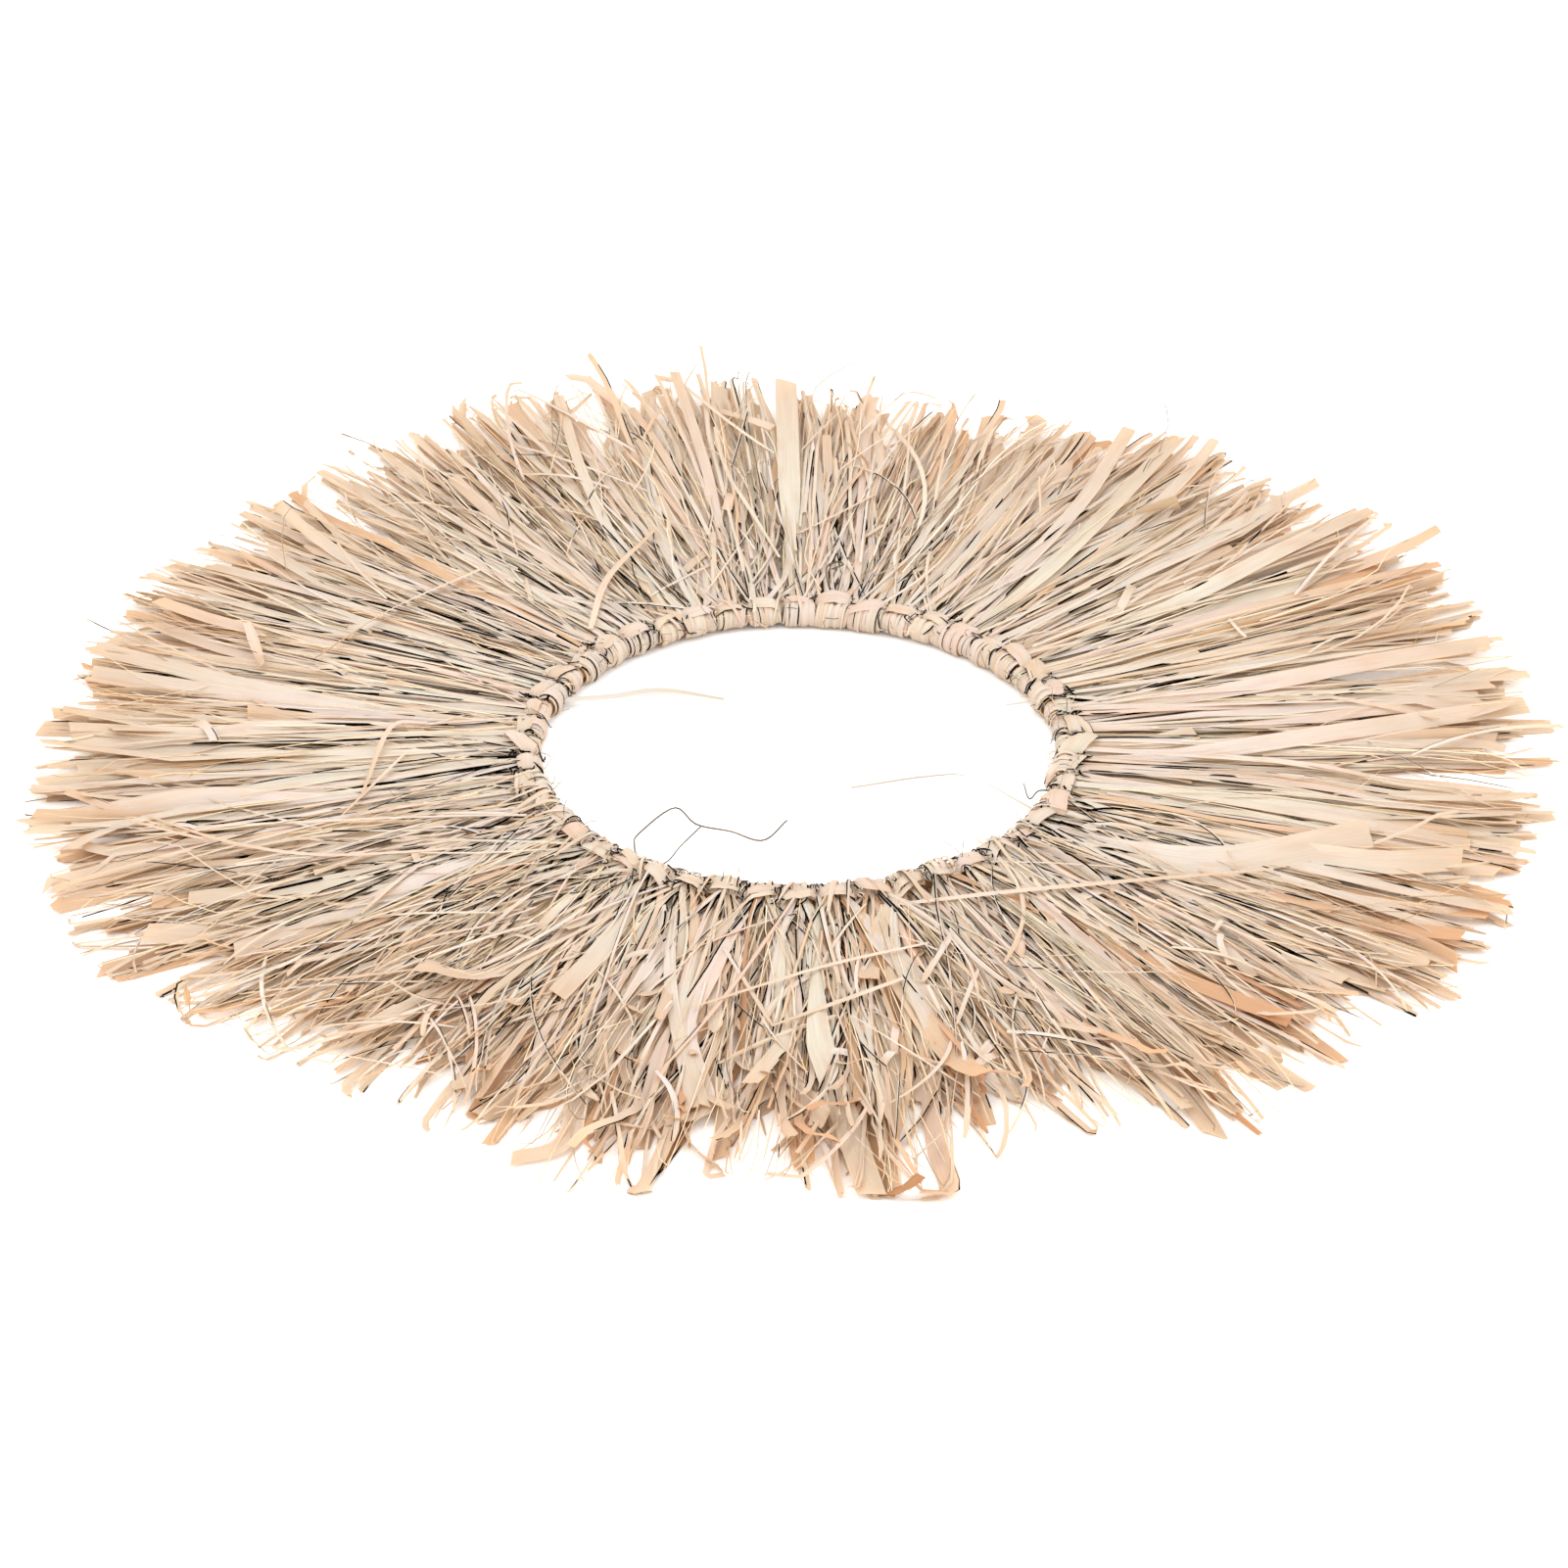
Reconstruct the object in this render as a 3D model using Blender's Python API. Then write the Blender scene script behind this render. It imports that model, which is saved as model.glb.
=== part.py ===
"""Raffia wall hanging: a cane hoop with a ring of raffia bundles hitched round it.

Metres, +Z up. The hanging lies on its back on the plane z = 0 and the hoop's centre is
above the origin. Each bundle is modelled along +X, as if it were the first one, and is
then turned to its own direction round the hoop.
"""
import math
import random

import bmesh
import bpy
from mathutils.geometry import tessellate_polygon

# Hoop
HOOP_DIAMETER = 0.218        # centre line of the cane
CANE_DIAMETER = 0.005
CANE_SIDES = 8

# Hitches
BUNDLE_COUNT = 48
SEAT_CLEARANCE = 0.0003      # between the cane and the raffia round it
WRAP_THICKNESS = 0.0023      # raffia packed round the cane
HITCH_SPACING = 0.0012       # slit between neighbouring hitches
WRAP_VALLEY = 0.0011         # dip between the two wraps of a hitch
BIGHT_WIDTH = 0.0046         # loop that crosses over the wraps, measured outwards
BIGHT_RISE = 0.0010          # how far that loop stands above the wraps
BIGHT_GROOVE = 0.0010        # groove between the wraps and the loop
HITCH_ROUNDING = 0.0008      # how far a hitch draws in at the top of its sides

# Neck, where the bundle leaves the hitch
NECK_THICKNESS = 0.0062
NECK_CLEARANCE = 0.0012      # under the neck
NECK_LENGTH = 0.030          # from the hitch to where the blades part

# Fringe
OVERALL_DIAMETER = 0.600
FRINGE_SPACING = 0.0006      # slit between neighbouring bundles
BLADES_PER_BUNDLE = 5
BLADE_THICKNESS = 0.0032
UPPER_LAYER = 0.0100         # height of the upper blades half-way out
LOWER_LAYER = 0.0038         # height of the lower blades half-way out
TIP_LIFT = 0.0035            # how far an upper blade may rise further at its tip
LANE_UNEVENNESS = 0.25       # how much wider or narrower a blade's lane may be
BLADE_FILL = 0.88            # share of its lane that a blade takes up
TIP_SLANT = 0.0060           # a tip is cut or broken off at a slant
RANDOM_SEED = 7

# Reach of the fringe by direction, as shares of the overall radius. A swell is a wave
# with so many crests, its height and the direction of one crest in degrees. A spot is a
# place where the fringe is longer or shorter, with its direction, amount and half width.
MEAN_REACH = 0.990
SWELLS = (
    (2, 0.010, -18),
    (4, 0.012, 23),
    (5, 0.019, -32),
    (7, 0.016, 4),
)
SPOTS = (
    (49, -0.018, 8),
    (73, -0.030, 5),
    (146, 0.020, 5),
    (208, 0.018, 8),
    (252, 0.028, 6),
    (264, -0.035, 5),
    (278, 0.045, 5),
    (292, -0.045, 6),
    (304, 0.040, 5),
    (318, -0.040, 5),
)

HALF_PITCH = math.pi / BUNDLE_COUNT
HOOP_RADIUS = HOOP_DIAMETER / 2
CANE_RADIUS = CANE_DIAMETER / 2
SEAT_RADIUS = CANE_RADIUS + SEAT_CLEARANCE
HITCH_RADIUS = SEAT_RADIUS + WRAP_THICKNESS
HITCH_HEIGHT = 2 * HITCH_RADIUS
HITCH_CORNER = HITCH_RADIUS * (2 - math.sqrt(2))
HOOP_HEIGHT = HITCH_RADIUS
BIGHT_START = HOOP_RADIUS + HITCH_RADIUS - HITCH_CORNER + BIGHT_GROOVE
NECK_START = BIGHT_START + BIGHT_WIDTH + BIGHT_GROOVE
BLADE_START = NECK_START + NECK_LENGTH
OVERALL_RADIUS = OVERALL_DIAMETER / 2


def clear_scene():
    """Removes whatever objects the file opened with."""
    for thing in list(bpy.data.objects):
        bpy.data.objects.remove(thing, do_unlink=True)


def plain_material(name, color, roughness):
    """A Principled material with a natural fibre's colour and roughness."""
    material = bpy.data.materials.new(name)
    material.use_nodes = True
    shader = material.node_tree.nodes["Principled BSDF"]
    shader.inputs["Base Color"].default_value = (*color, 1.0)
    shader.inputs["Roughness"].default_value = roughness
    shader.inputs["Metallic"].default_value = 0.0
    material.diffuse_color = (*color, 1.0)
    return material


def closed_object(name, points, faces, material):
    """One closed body from points and faces, with its faces turned outwards."""
    mesh = bpy.data.meshes.new(name)
    mesh.from_pydata(points, [], faces)
    body = bmesh.new()
    body.from_mesh(mesh)
    bmesh.ops.recalc_face_normals(body, faces=body.faces)
    body.to_mesh(mesh)
    body.free()
    mesh.materials.append(material)
    thing = bpy.data.objects.new(name, mesh)
    bpy.context.scene.collection.objects.link(thing)
    return thing


def bridge(first, second):
    """Triangles between two rows of points that may differ in number."""
    faces = []
    i = 0
    j = 0
    while i < len(first) - 1 or j < len(second) - 1:
        next_first = (i + 1) / (len(first) - 1)
        next_second = (j + 1) / (len(second) - 1)
        if next_first <= next_second:
            faces.append((first[i], first[i + 1], second[j]))
            i += 1
        else:
            faces.append((first[i], second[j + 1], second[j]))
            j += 1
    return faces


def make_hoop(material):
    """The cane hoop, straight under each hitch and mitred half-way between hitches."""
    mitre_radius = HOOP_RADIUS / math.cos(HALF_PITCH)
    points = []
    faces = []
    for k in range(BUNDLE_COUNT):
        direction = (2 * k + 1) * HALF_PITCH
        for side in range(CANE_SIDES):
            turn = (side + 0.5) * 2 * math.pi / CANE_SIDES
            reach = mitre_radius + CANE_RADIUS * math.cos(turn)
            height = HOOP_HEIGHT + CANE_RADIUS * math.sin(turn)
            points.append((reach * math.cos(direction), reach * math.sin(direction), height))
    for k in range(BUNDLE_COUNT):
        here = k * CANE_SIDES
        there = (k + 1) % BUNDLE_COUNT * CANE_SIDES
        for side in range(CANE_SIDES):
            other = (side + 1) % CANE_SIDES
            faces.append((here + side, there + side, there + other, here + other))
    hoop = closed_object("hoop", points, faces, material)
    hoop.data.shade_smooth()
    return hoop


def half_width(distance, spacing):
    """Half the width of a bundle's own sector, at a distance from the hoop's centre."""
    return distance * math.tan(HALF_PITCH) - spacing / 2 / math.cos(HALF_PITCH)


def hitch_outline():
    """The hitch's side view as (distance, height, draw-in), from under the cane outwards.

    It runs along the flat underside to the neck, back over the crossing loop and the
    two wraps, and down the flat inner face.
    """
    inner = HOOP_RADIUS - HITCH_RADIUS
    wraps_end = BIGHT_START - BIGHT_GROOVE
    bight_top = HITCH_HEIGHT + BIGHT_RISE
    neck_top = NECK_CLEARANCE + NECK_THICKNESS
    bight_slope = BIGHT_WIDTH / 5
    return [
        (inner + HITCH_CORNER, 0.0, 0.0),
        (BIGHT_START, 0.0, 0.0),
        (NECK_START, NECK_CLEARANCE, 0.0),
        (NECK_START, neck_top, 0.0),
        (BIGHT_START + BIGHT_WIDTH, bight_top - bight_slope, HITCH_ROUNDING),
        (BIGHT_START + bight_slope, bight_top, HITCH_ROUNDING),
        (BIGHT_START - BIGHT_GROOVE / 2, HITCH_HEIGHT - BIGHT_GROOVE, 0.0),
        (wraps_end, HITCH_HEIGHT, HITCH_ROUNDING),
        (inner + HITCH_CORNER, HITCH_HEIGHT, HITCH_ROUNDING),
        (inner, HITCH_HEIGHT - HITCH_CORNER, 0.0),
        (inner, HITCH_CORNER, 0.0),
    ]


NECK_LOW = 2                 # where the neck meets the outline, counted from its start
NECK_HIGH = 3
WRAP_TOPS = (7, 8)           # the outline's two points on top of the wraps


def seat_outline():
    """The six-sided hole that the cane passes through, as (distance, height)."""
    corner_radius = SEAT_RADIUS / math.cos(math.pi / 6)
    outline = []
    for side in range(6):
        turn = side * math.pi / 3
        distance = HOOP_RADIUS + corner_radius * math.cos(turn)
        height = HOOP_HEIGHT + corner_radius * math.sin(turn)
        outline.append((distance, height))
    return outline


def add_hitch(points, faces):
    """Adds the two wraps and the crossing loop, open where the neck leaves them.

    Returns the neck's lower and upper rows of points.
    """
    outline = hitch_outline()
    seat = seat_outline()
    rows = []
    for place, (distance, height, draw_in) in enumerate(outline):
        width = half_width(distance, HITCH_SPACING) - draw_in
        row = [len(points)]
        points.append((distance, -width, height))
        if place in WRAP_TOPS:
            row.append(len(points))
            points.append((distance, 0.0, height - WRAP_VALLEY))
        row.append(len(points))
        points.append((distance, width, height))
        rows.append(row)
    seat_rows = []
    for distance, height in seat:
        width = half_width(distance, HITCH_SPACING)
        seat_rows.append([len(points), len(points) + 1])
        points.append((distance, -width, height))
        points.append((distance, width, height))
    for place, row in enumerate(rows):
        if place != NECK_LOW:
            faces.extend(bridge(row, rows[(place + 1) % len(rows)]))
    for place, row in enumerate(seat_rows):
        faces.extend(bridge(row, seat_rows[(place + 1) % len(seat_rows)]))
    loops = [[(d, h, 0.0) for d, h, _ in outline], [(d, h, 0.0) for d, h in seat]]
    for end in (0, -1):
        ring = [row[end] for row in rows] + [row[end] for row in seat_rows]
        for face in tessellate_polygon(loops):
            faces.append(tuple(ring[corner] for corner in face))
    return rows[NECK_LOW], rows[NECK_HIGH]


def lane_edges(chance):
    """Where the blades' lanes begin and end across the bundle, from -1 to 1."""
    edges = [-1.0]
    for blade in range(1, BLADES_PER_BUNDLE):
        shift = chance.uniform(-LANE_UNEVENNESS, LANE_UNEVENNESS)
        edges.append(2 * (blade + shift) / BLADES_PER_BUNDLE - 1)
    edges.append(1.0)
    return edges


def add_neck(points, faces, neck_low, neck_high, edges, chance):
    """Adds the neck out to where the blades part, and returns its last two rows."""
    low_row = []
    high_row = []
    for across in edges:
        distance = BLADE_START + NECK_LENGTH * chance.uniform(-0.3, 0.3)
        side = across * half_width(distance, FRINGE_SPACING)
        low_row.append(len(points))
        points.append((distance, side, NECK_CLEARANCE))
        high_row.append(len(points))
        swelling = chance.uniform(1.0, 1.25)
        points.append((distance, side, NECK_CLEARANCE + NECK_THICKNESS * swelling))
    faces.extend(bridge(neck_low, low_row))
    faces.extend(bridge(neck_high, high_row))
    for end in (0, -1):
        faces.append((neck_low[end], neck_high[end], high_row[end], low_row[end]))
    return low_row, high_row


def blade_section(points, lane, distance, slant, fill, height, thickness):
    """Adds the four points of one section across a blade, and returns them in a ring."""
    ring = []
    lane_middle = (lane[0] + lane[1]) / 2
    lane_half = (lane[1] - lane[0]) / 2 * fill
    corners = ((-1, -1), (1, -1), (1, 1), (-1, 1))
    for sideways, upwards in corners:
        reach = distance + slant * sideways / 2
        side = (lane_middle + sideways * lane_half) * half_width(reach, FRINGE_SPACING)
        ring.append(len(points))
        points.append((reach, side, height + upwards * thickness / 2))
    return ring


def add_blade(points, faces, root, lane, reach, is_upper, chance):
    """Adds one blade of raffia from the parting of the neck to its cut tip."""
    thickness = BLADE_THICKNESS * chance.uniform(0.85, 1.15)
    if is_upper:
        middle_height = UPPER_LAYER * chance.uniform(0.85, 1.1)
        tip_height = middle_height + TIP_LIFT * chance.uniform(-1.0, 1.0)
    else:
        middle_height = LOWER_LAYER * chance.uniform(0.9, 1.3)
        tip_height = thickness / 2
    middle = BLADE_START + (reach - BLADE_START) * chance.uniform(0.45, 0.6)
    slant = TIP_SLANT * chance.uniform(-1.0, 1.0)
    tip_distance = reach - abs(slant) / 2
    tip_fill = BLADE_FILL * chance.uniform(0.6, 1.0)
    middle_ring = blade_section(points, lane, middle, 0.0, BLADE_FILL, middle_height, thickness)
    tip_ring = blade_section(points, lane, tip_distance, slant, tip_fill, tip_height, thickness)
    for start, end in ((root, middle_ring), (middle_ring, tip_ring)):
        for corner in range(4):
            following = (corner + 1) % 4
            faces.extend(bridge([start[corner], start[following]], [end[corner], end[following]]))
    faces.append(tuple(tip_ring))


def fringe_reach(direction):
    """Distance of the longest tips from the hoop's centre, in one direction."""
    share = MEAN_REACH
    for crests, height, crest in SWELLS:
        share += height * math.cos(crests * (direction - math.radians(crest)))
    for place, amount, half_extent in SPOTS:
        away = math.remainder(direction - math.radians(place), 2 * math.pi)
        share += amount * math.exp(-(away / math.radians(half_extent)) ** 2)
    return OVERALL_RADIUS * share


def make_bundle(k, material):
    """One bundle of raffia, hitched round the hoop with its tails fanned outwards."""
    chance = random.Random(RANDOM_SEED * 1000 + k)
    direction = 2 * k * HALF_PITCH
    points = []
    faces = []
    neck_low, neck_high = add_hitch(points, faces)
    edges = lane_edges(chance)
    low_row, high_row = add_neck(points, faces, neck_low, neck_high, edges, chance)
    longest = chance.randrange(BLADES_PER_BUNDLE)
    upper_parity = chance.randrange(2)
    for blade in range(BLADES_PER_BUNDLE):
        lane = (edges[blade], edges[blade + 1])
        root = [low_row[blade], low_row[blade + 1], high_row[blade + 1], high_row[blade]]
        middle_of_lane = direction + (lane[0] + lane[1]) / 2 * HALF_PITCH
        reach = fringe_reach(middle_of_lane)
        if blade != longest:
            reach -= (reach - BLADE_START) * chance.uniform(0.01, 0.13)
        is_upper = (blade + upper_parity) % 2 == 0
        add_blade(points, faces, root, lane, reach, is_upper, chance)
    bundle = closed_object(f"raffia_bundle_{k + 1:02d}", points, faces, material)
    bundle.rotation_euler.z = direction
    return bundle


def main():
    clear_scene()
    cane = plain_material("cane", (0.42, 0.26, 0.13), 0.6)
    raffia = plain_material("raffia", (0.76, 0.60, 0.43), 0.7)
    make_hoop(cane)
    for k in range(BUNDLE_COUNT):
        make_bundle(k, raffia)


main()
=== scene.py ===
"""Raffia wall hanging, dressed: every bundle as its real strips, hitched round the hoop.

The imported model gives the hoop, the place of each bundle and how far it reaches. Each
bundle's solid is replaced by one piece: the wraps and the crossing loop of its hitch, and
its tails of broad blades, narrow strands and fine fibres. Lengths are in metres and a
bundle is made along +X before it is turned to its own direction.
"""
import math
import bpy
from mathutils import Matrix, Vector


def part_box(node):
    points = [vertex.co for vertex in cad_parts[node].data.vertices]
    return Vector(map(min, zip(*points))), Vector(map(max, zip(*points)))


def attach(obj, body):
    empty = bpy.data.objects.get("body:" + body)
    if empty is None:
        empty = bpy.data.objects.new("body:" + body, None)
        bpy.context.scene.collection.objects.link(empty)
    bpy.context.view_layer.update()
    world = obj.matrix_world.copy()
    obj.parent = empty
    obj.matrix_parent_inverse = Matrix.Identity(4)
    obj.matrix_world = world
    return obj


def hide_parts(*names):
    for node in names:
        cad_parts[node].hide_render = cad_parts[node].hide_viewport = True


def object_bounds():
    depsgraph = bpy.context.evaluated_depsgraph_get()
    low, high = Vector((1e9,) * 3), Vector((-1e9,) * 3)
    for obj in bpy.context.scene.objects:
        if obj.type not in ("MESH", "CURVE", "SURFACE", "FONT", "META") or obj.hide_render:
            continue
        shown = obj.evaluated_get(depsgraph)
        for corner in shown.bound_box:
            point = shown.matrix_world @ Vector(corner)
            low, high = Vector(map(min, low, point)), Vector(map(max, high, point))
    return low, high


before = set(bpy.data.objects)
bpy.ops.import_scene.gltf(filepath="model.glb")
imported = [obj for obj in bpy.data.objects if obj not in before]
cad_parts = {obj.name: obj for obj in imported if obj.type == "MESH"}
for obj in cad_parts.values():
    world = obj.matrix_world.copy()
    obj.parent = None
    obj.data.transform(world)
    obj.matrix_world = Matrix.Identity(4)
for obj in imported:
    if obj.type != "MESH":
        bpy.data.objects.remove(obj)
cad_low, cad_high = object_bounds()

from types import SimpleNamespace

import bpy
import numpy as np
from mathutils import Vector

MM = 0.001
RANDOM_SEED = 41
SHARP_FOLD = math.radians(38)    # folds sharper than this show as edges

# Which of the raffia materials a strip has
STRIP = 0
FIBRE = 1
BLEACHED = 2

# Places read from the imported model
BUNDLES = sorted(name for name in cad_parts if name.startswith("raffia_bundle_"))
HALF_PITCH = math.pi / len(BUNDLES)
hoop_low, hoop_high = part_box("hoop")
CANE_RADIUS = (hoop_high.z - hoop_low.z) / 2
HOOP_HEIGHT = (hoop_high.z + hoop_low.z) / 2
HOOP_RADIUS = (hoop_high.x - hoop_low.x) / 2 - CANE_RADIUS
HITCH_RADIUS = HOOP_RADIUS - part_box(BUNDLES[0])[0].x
FLOOR_HEIGHT = cad_low[2]

# Hitch
WRAP_SINK = 0.75 * MM            # middle of a wrap under the hitch's outside
WRAP_SLIT = 0.5 * MM             # between the wraps of neighbouring hitches
WRAP_HOLLOW = 0.9 * MM           # how much deeper a hitch's outer wraps lie than its middle
WRAP_TURNS = (48, 290)           # degrees round the cane where the wraps leave and rejoin the tails
WRAP_ENDS = (1.0 * MM, 8.0 * MM)     # heights of their ends, under the neck and under the loop
WRAP_PAST_BAR = 1.5 * MM         # the ends lie this far out past the crossing loop's middle
BAR_OUT = 3.2 * MM               # crossing loop's middle, outwards from the cane's
BAR_WIDTH = 7.0 * MM
BAR_RISE = 0.3 * MM              # crossing loop's ribbon above the wraps
BAR_FOOT = 2.5 * MM              # height that the loop's ends dive towards
RIBBON_PLY = 0.5 * MM            # thickness of a hitch's ribbons, each of more than one strip
HITCH_TONES = (0.3, 0.7)         # range of their colours
FULL_HITCH = 2.4 * MM            # how much higher a hitch stands where it is loose
TAIL_START = 3.0 * MM            # tails start under the loop, this far out from the cane

# Fringe. A pair of values is the least and the most, or the lowest and the highest.
PLY = 0.26 * MM                  # thickness of a strip, a little more than real
LAYERS = 4
NECK_HEIGHTS = (1.2 * MM, 9.9 * MM)
NECK_CLEARANCE = 0.4 * MM        # of a bundle's outermost tails from its sides, at the hitch
FRINGE_HEIGHTS = (1.2 * MM, 8.6 * MM)    # of the strips half-way out
TIP_LIFTS = (0.35, 1.0)          # height of a tip as a share of its strip's half-way out
TIP_UNEVENNESS = 1.4 * MM
LOWEST_TIP = 0.6 * MM
LOWEST_PATH = 0.5 * MM           # of a strip's middle line above the floor
FLOOR_GAP = 0.2 * MM
HIGHEST = cad_high[2] + 7.0 * MM
FARTHEST = 13.0 * MM             # a tip may pass its bundle's solid by this much
BOWS = (2.0 * MM, 4.6 * MM)      # to the side, of an even tail and a ragged one
TIP_SCATTER = (0.02, 0.08)       # of even tips and ragged ones, as a share of the reach
SHORT_TAILS = (0.98, 0.53)       # where the tails end that don't reach the rim, as such a share
TAIL_SWAY = 0.6 * MM
FIBRE_SWAY = 1.0 * MM
PINCH_ENDS = 0.07                # share of the way in which a drawn-in tail opens again
TIP_SLANT = 0.5                  # of cut tips, as length over width
STEPS_A_BUNDLE = 4               # in reading the solids' outline

# Widths of strips when they are opened out
MEDIUM_WIDTHS = (2.0 * MM, 4.6 * MM)
BROAD_WIDTHS = (5.0 * MM, 10.5 * MM)
STRAND_WIDTHS = (0.8 * MM, 2.1 * MM)
FIBRE_WIDTHS = (0.3 * MM, 0.55 * MM)
BIT_WIDTHS = (1.4 * MM, 5.5 * MM)
CROSSER_WIDTHS = (0.6 * MM, 2.8 * MM)
SHADE_SHRED_WIDTHS = (0.8 * MM, 1.4 * MM)
HITCH_STRAND_WIDTHS = (0.8 * MM, 2.6 * MM)
WHISKER_WIDTH = 0.32 * MM

# Painted shade along the strips' sides: a near-black line along one side, in stretches, standing for the
# shadow in the gap beside the strip
FINE_SHADE_LINE = 0.45 * MM            # width on a strip in a hitch or lying across
SHADE_LINE_SHARE = 0.45                # of a strip's width, the most that its painted shade line takes
NARROW_SHADE_SHARE = 0.95                # the same for a narrow strand, which is painted dark nearly all over, as a thin line of shade
MOST_SHADE_LINED = 1.5                  # end of the range of how much painted shade line a strip carries
GRAIN_APART = 50 * MM            # from one strip's place in the grain to the next one's

# How the fringe looks by direction, in degrees anticlockwise from +X: the share of broad
# blades, the amount of fine strands, how much the tips curl, how loosely the strips lie,
# how yellow they are, how far the tails are drawn together at the hitch, how untidy and
# full the hitch is, how ragged the tips are, how often the strips carry painted shade
# along a side, where most tips end, as a share of the solids' reach, the width in mm of
# the painted shade lines, which is drawn wider than real, to show, and how far aside the
# tips stand, in degrees.
TRAITS = (
    "broad", "fine", "curl", "loose", "yellow", "pinch", "untidy", "ragged", "torn", "reach", "edge",
    "aside",
)
ZONES = (
    (0, 0.75, 0.20, 0.08, 0.80, 0.10, 0.10, 0.35, 0.12, 0.3, 1.000, 1.3, 2.0),
    (40, 0.60, 0.30, 0.10, 0.95, 0.40, 0.10, 0.20, 0.30, 0.5, 1.005, 1.0, 2.2),
    (75, 0.15, 0.65, 0.18, 1.10, 0.00, 0.15, 0.10, 0.75, 0.7, 1.040, 0.6, 3.8),
    (100, 0.10, 0.85, 0.20, 1.20, -0.10, 0.15, 0.10, 0.80, 0.7, 1.070, 0.6, 4.2),
    (135, 0.22, 0.75, 0.20, 1.10, 0.05, 0.15, 0.20, 0.60, 0.7, 1.008, 0.6, 3.4),
    (165, 0.60, 0.45, 0.12, 0.90, 0.12, 0.10, 0.35, 0.30, 0.6, 1.003, 1.3, 2.6),
    (195, 0.45, 0.65, 0.28, 1.10, 0.20, 0.20, 0.60, 0.60, 0.7, 1.000, 1.1, 5.0),
    (225, 0.20, 1.15, 0.60, 1.40, 0.55, 0.35, 0.90, 1.20, 1.0, 1.005, 0.6, 9.0),
    (245, 0.30, 0.85, 0.65, 1.25, 0.75, 0.50, 1.00, 1.05, 0.8, 0.925, 0.7, 5.5),
    (265, 0.30, 0.80, 0.70, 1.25, 0.80, 0.60, 0.95, 1.00, 0.8, 1.000, 0.7, 5.0),
    (280, 0.30, 0.80, 0.75, 1.25, 0.75, 0.60, 1.00, 1.15, 0.8, 1.035, 0.7, 5.0),
    (290, 0.25, 0.85, 0.65, 1.20, 0.70, 0.55, 1.00, 1.10, 0.8, 0.890, 0.6, 5.0),
    (302, 0.25, 0.80, 0.55, 1.15, 0.60, 0.50, 1.00, 0.85, 0.7, 0.992, 0.6, 6.0),
    (312, 0.35, 0.70, 0.40, 1.10, 0.45, 0.40, 0.90, 0.60, 0.7, 0.925, 0.7, 5.5),
    (330, 0.55, 0.50, 0.25, 1.00, 0.25, 0.20, 0.70, 0.40, 0.7, 1.012, 0.9, 4.0),
)

# Gaps that open between the tails, down to the floor, as the direction in degrees, the
# distance in mm that they start at, and half their width in degrees. The rest are random.
GAPS = (
    (356.4, 200, 2.6), (236, 245, 1.6), (250, 222, 1.3), (262, 205, 0.9), (269, 270, 1.1), (278, 262, 1.0),
    (283, 228, 2.0), (287, 225, 1.2), (291, 240, 1.8), (296, 222, 1.2), (306, 250, 1.2), (315, 262, 1.0),
)
GAP_SPACING = 7.0                # degrees between the random gaps, where strips lie loosest
GAP_SPREAD = 2.2                 # how far aside a gap still pushes tails, in its own half widths
GAP_OPENS_IN = 50 * MM           # distance over which a gap opens

BLADE_TONES = (0.05, 0.4)        # range of the colours of the blades that stand out
BLADE_NECK = 2.6 * MM            # their width at the hitch

# Blades that stand out, as their width at the tip in mm, how far the tip is cut at a
# slant, how many degrees they are turned to face forwards, towards -Y, and the places
# they pass: direction in degrees, distance and height in mm.
BROAD_BLADES = (
    (14.0, 0.1, 30, ((329, 114, 7), (331, 183, 10), (343, 238, 11))),
    (12.0, 0.2, 30, ((338, 114, 7), (338, 231, 10), (342, 277, 9))),
    (9.0, -0.8, 0, ((52, 114, 7), (53, 181, 10), (57, 297, 8))),
    (9.5, 0.9, 0, ((91, 114, 7), (91, 217, 10), (91, 297, 10))),
    (7.5, 0.2, 20, ((172, 114, 7), (170, 208, 10), (165, 301, 8))),
    (7.0, -0.2, 20, ((173, 114, 6), (171, 207, 9), (168, 297, 6))),
    (9.0, 0.3, 0, ((239, 114, 7), (243, 170, 10), (243, 207, 10))),
    (9.0, 0.4, 0, ((249, 114, 7), (251, 175, 10), (251, 240, 6))),
    (5.0, 0.0, 0, ((245, 114, 7), (254, 182, 10), (261, 261, 7))),
    (4.5, 0.5, 0, ((253, 114, 7), (257, 202, 9), (262, 259, 7))),
    (7.0, 0.2, 0, ((258, 114, 6), (258, 205, 8), (262, 255, 5), (259, 268, 4))),
    (8.0, 0.5, 0, ((250, 114, 6), (250, 234, 6), (252, 287, 3), (249, 305, 2))),
    (11.0, 0.2, 0, ((274, 114, 7), (272, 205, 10), (273, 239, 7), (275, 311, 3))),
    (9.0, 0.3, 20, ((192, 114, 6), (192, 195, 8), (189, 244, 8), (190, 296, 6))),
    (8.5, -0.3, 20, ((177, 114, 6), (176, 205, 8), (178, 244, 8), (177, 297, 6))),
    (9.0, 0.2, 20, ((209, 114, 6), (209, 200, 8), (205, 266, 8))),
    (9.0, 0.3, 20, ((13, 114, 7), (13, 178, 10), (15, 243, 10), (16, 297, 8))),
    (8.0, -0.2, 20, ((356, 114, 7), (357, 152, 9), (3, 232, 10), (6, 299, 9))),
    (8.5, 0.2, 20, ((35, 114, 7), (35, 191, 10), (37, 249, 10), (38, 302, 9))),
    (7.0, 0.4, 0, ((57, 114, 7), (56, 142, 8), (58, 224, 10), (61, 294, 9))),
    (4.5, 0.6, 0, ((116, 114, 7), (116, 166, 9), (113, 233, 10), (110, 303, 10))),
    (4.5, 0.8, 0, ((101, 114, 7), (101, 169, 9), (100, 227, 10), (100, 308, 11))),
)

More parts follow.
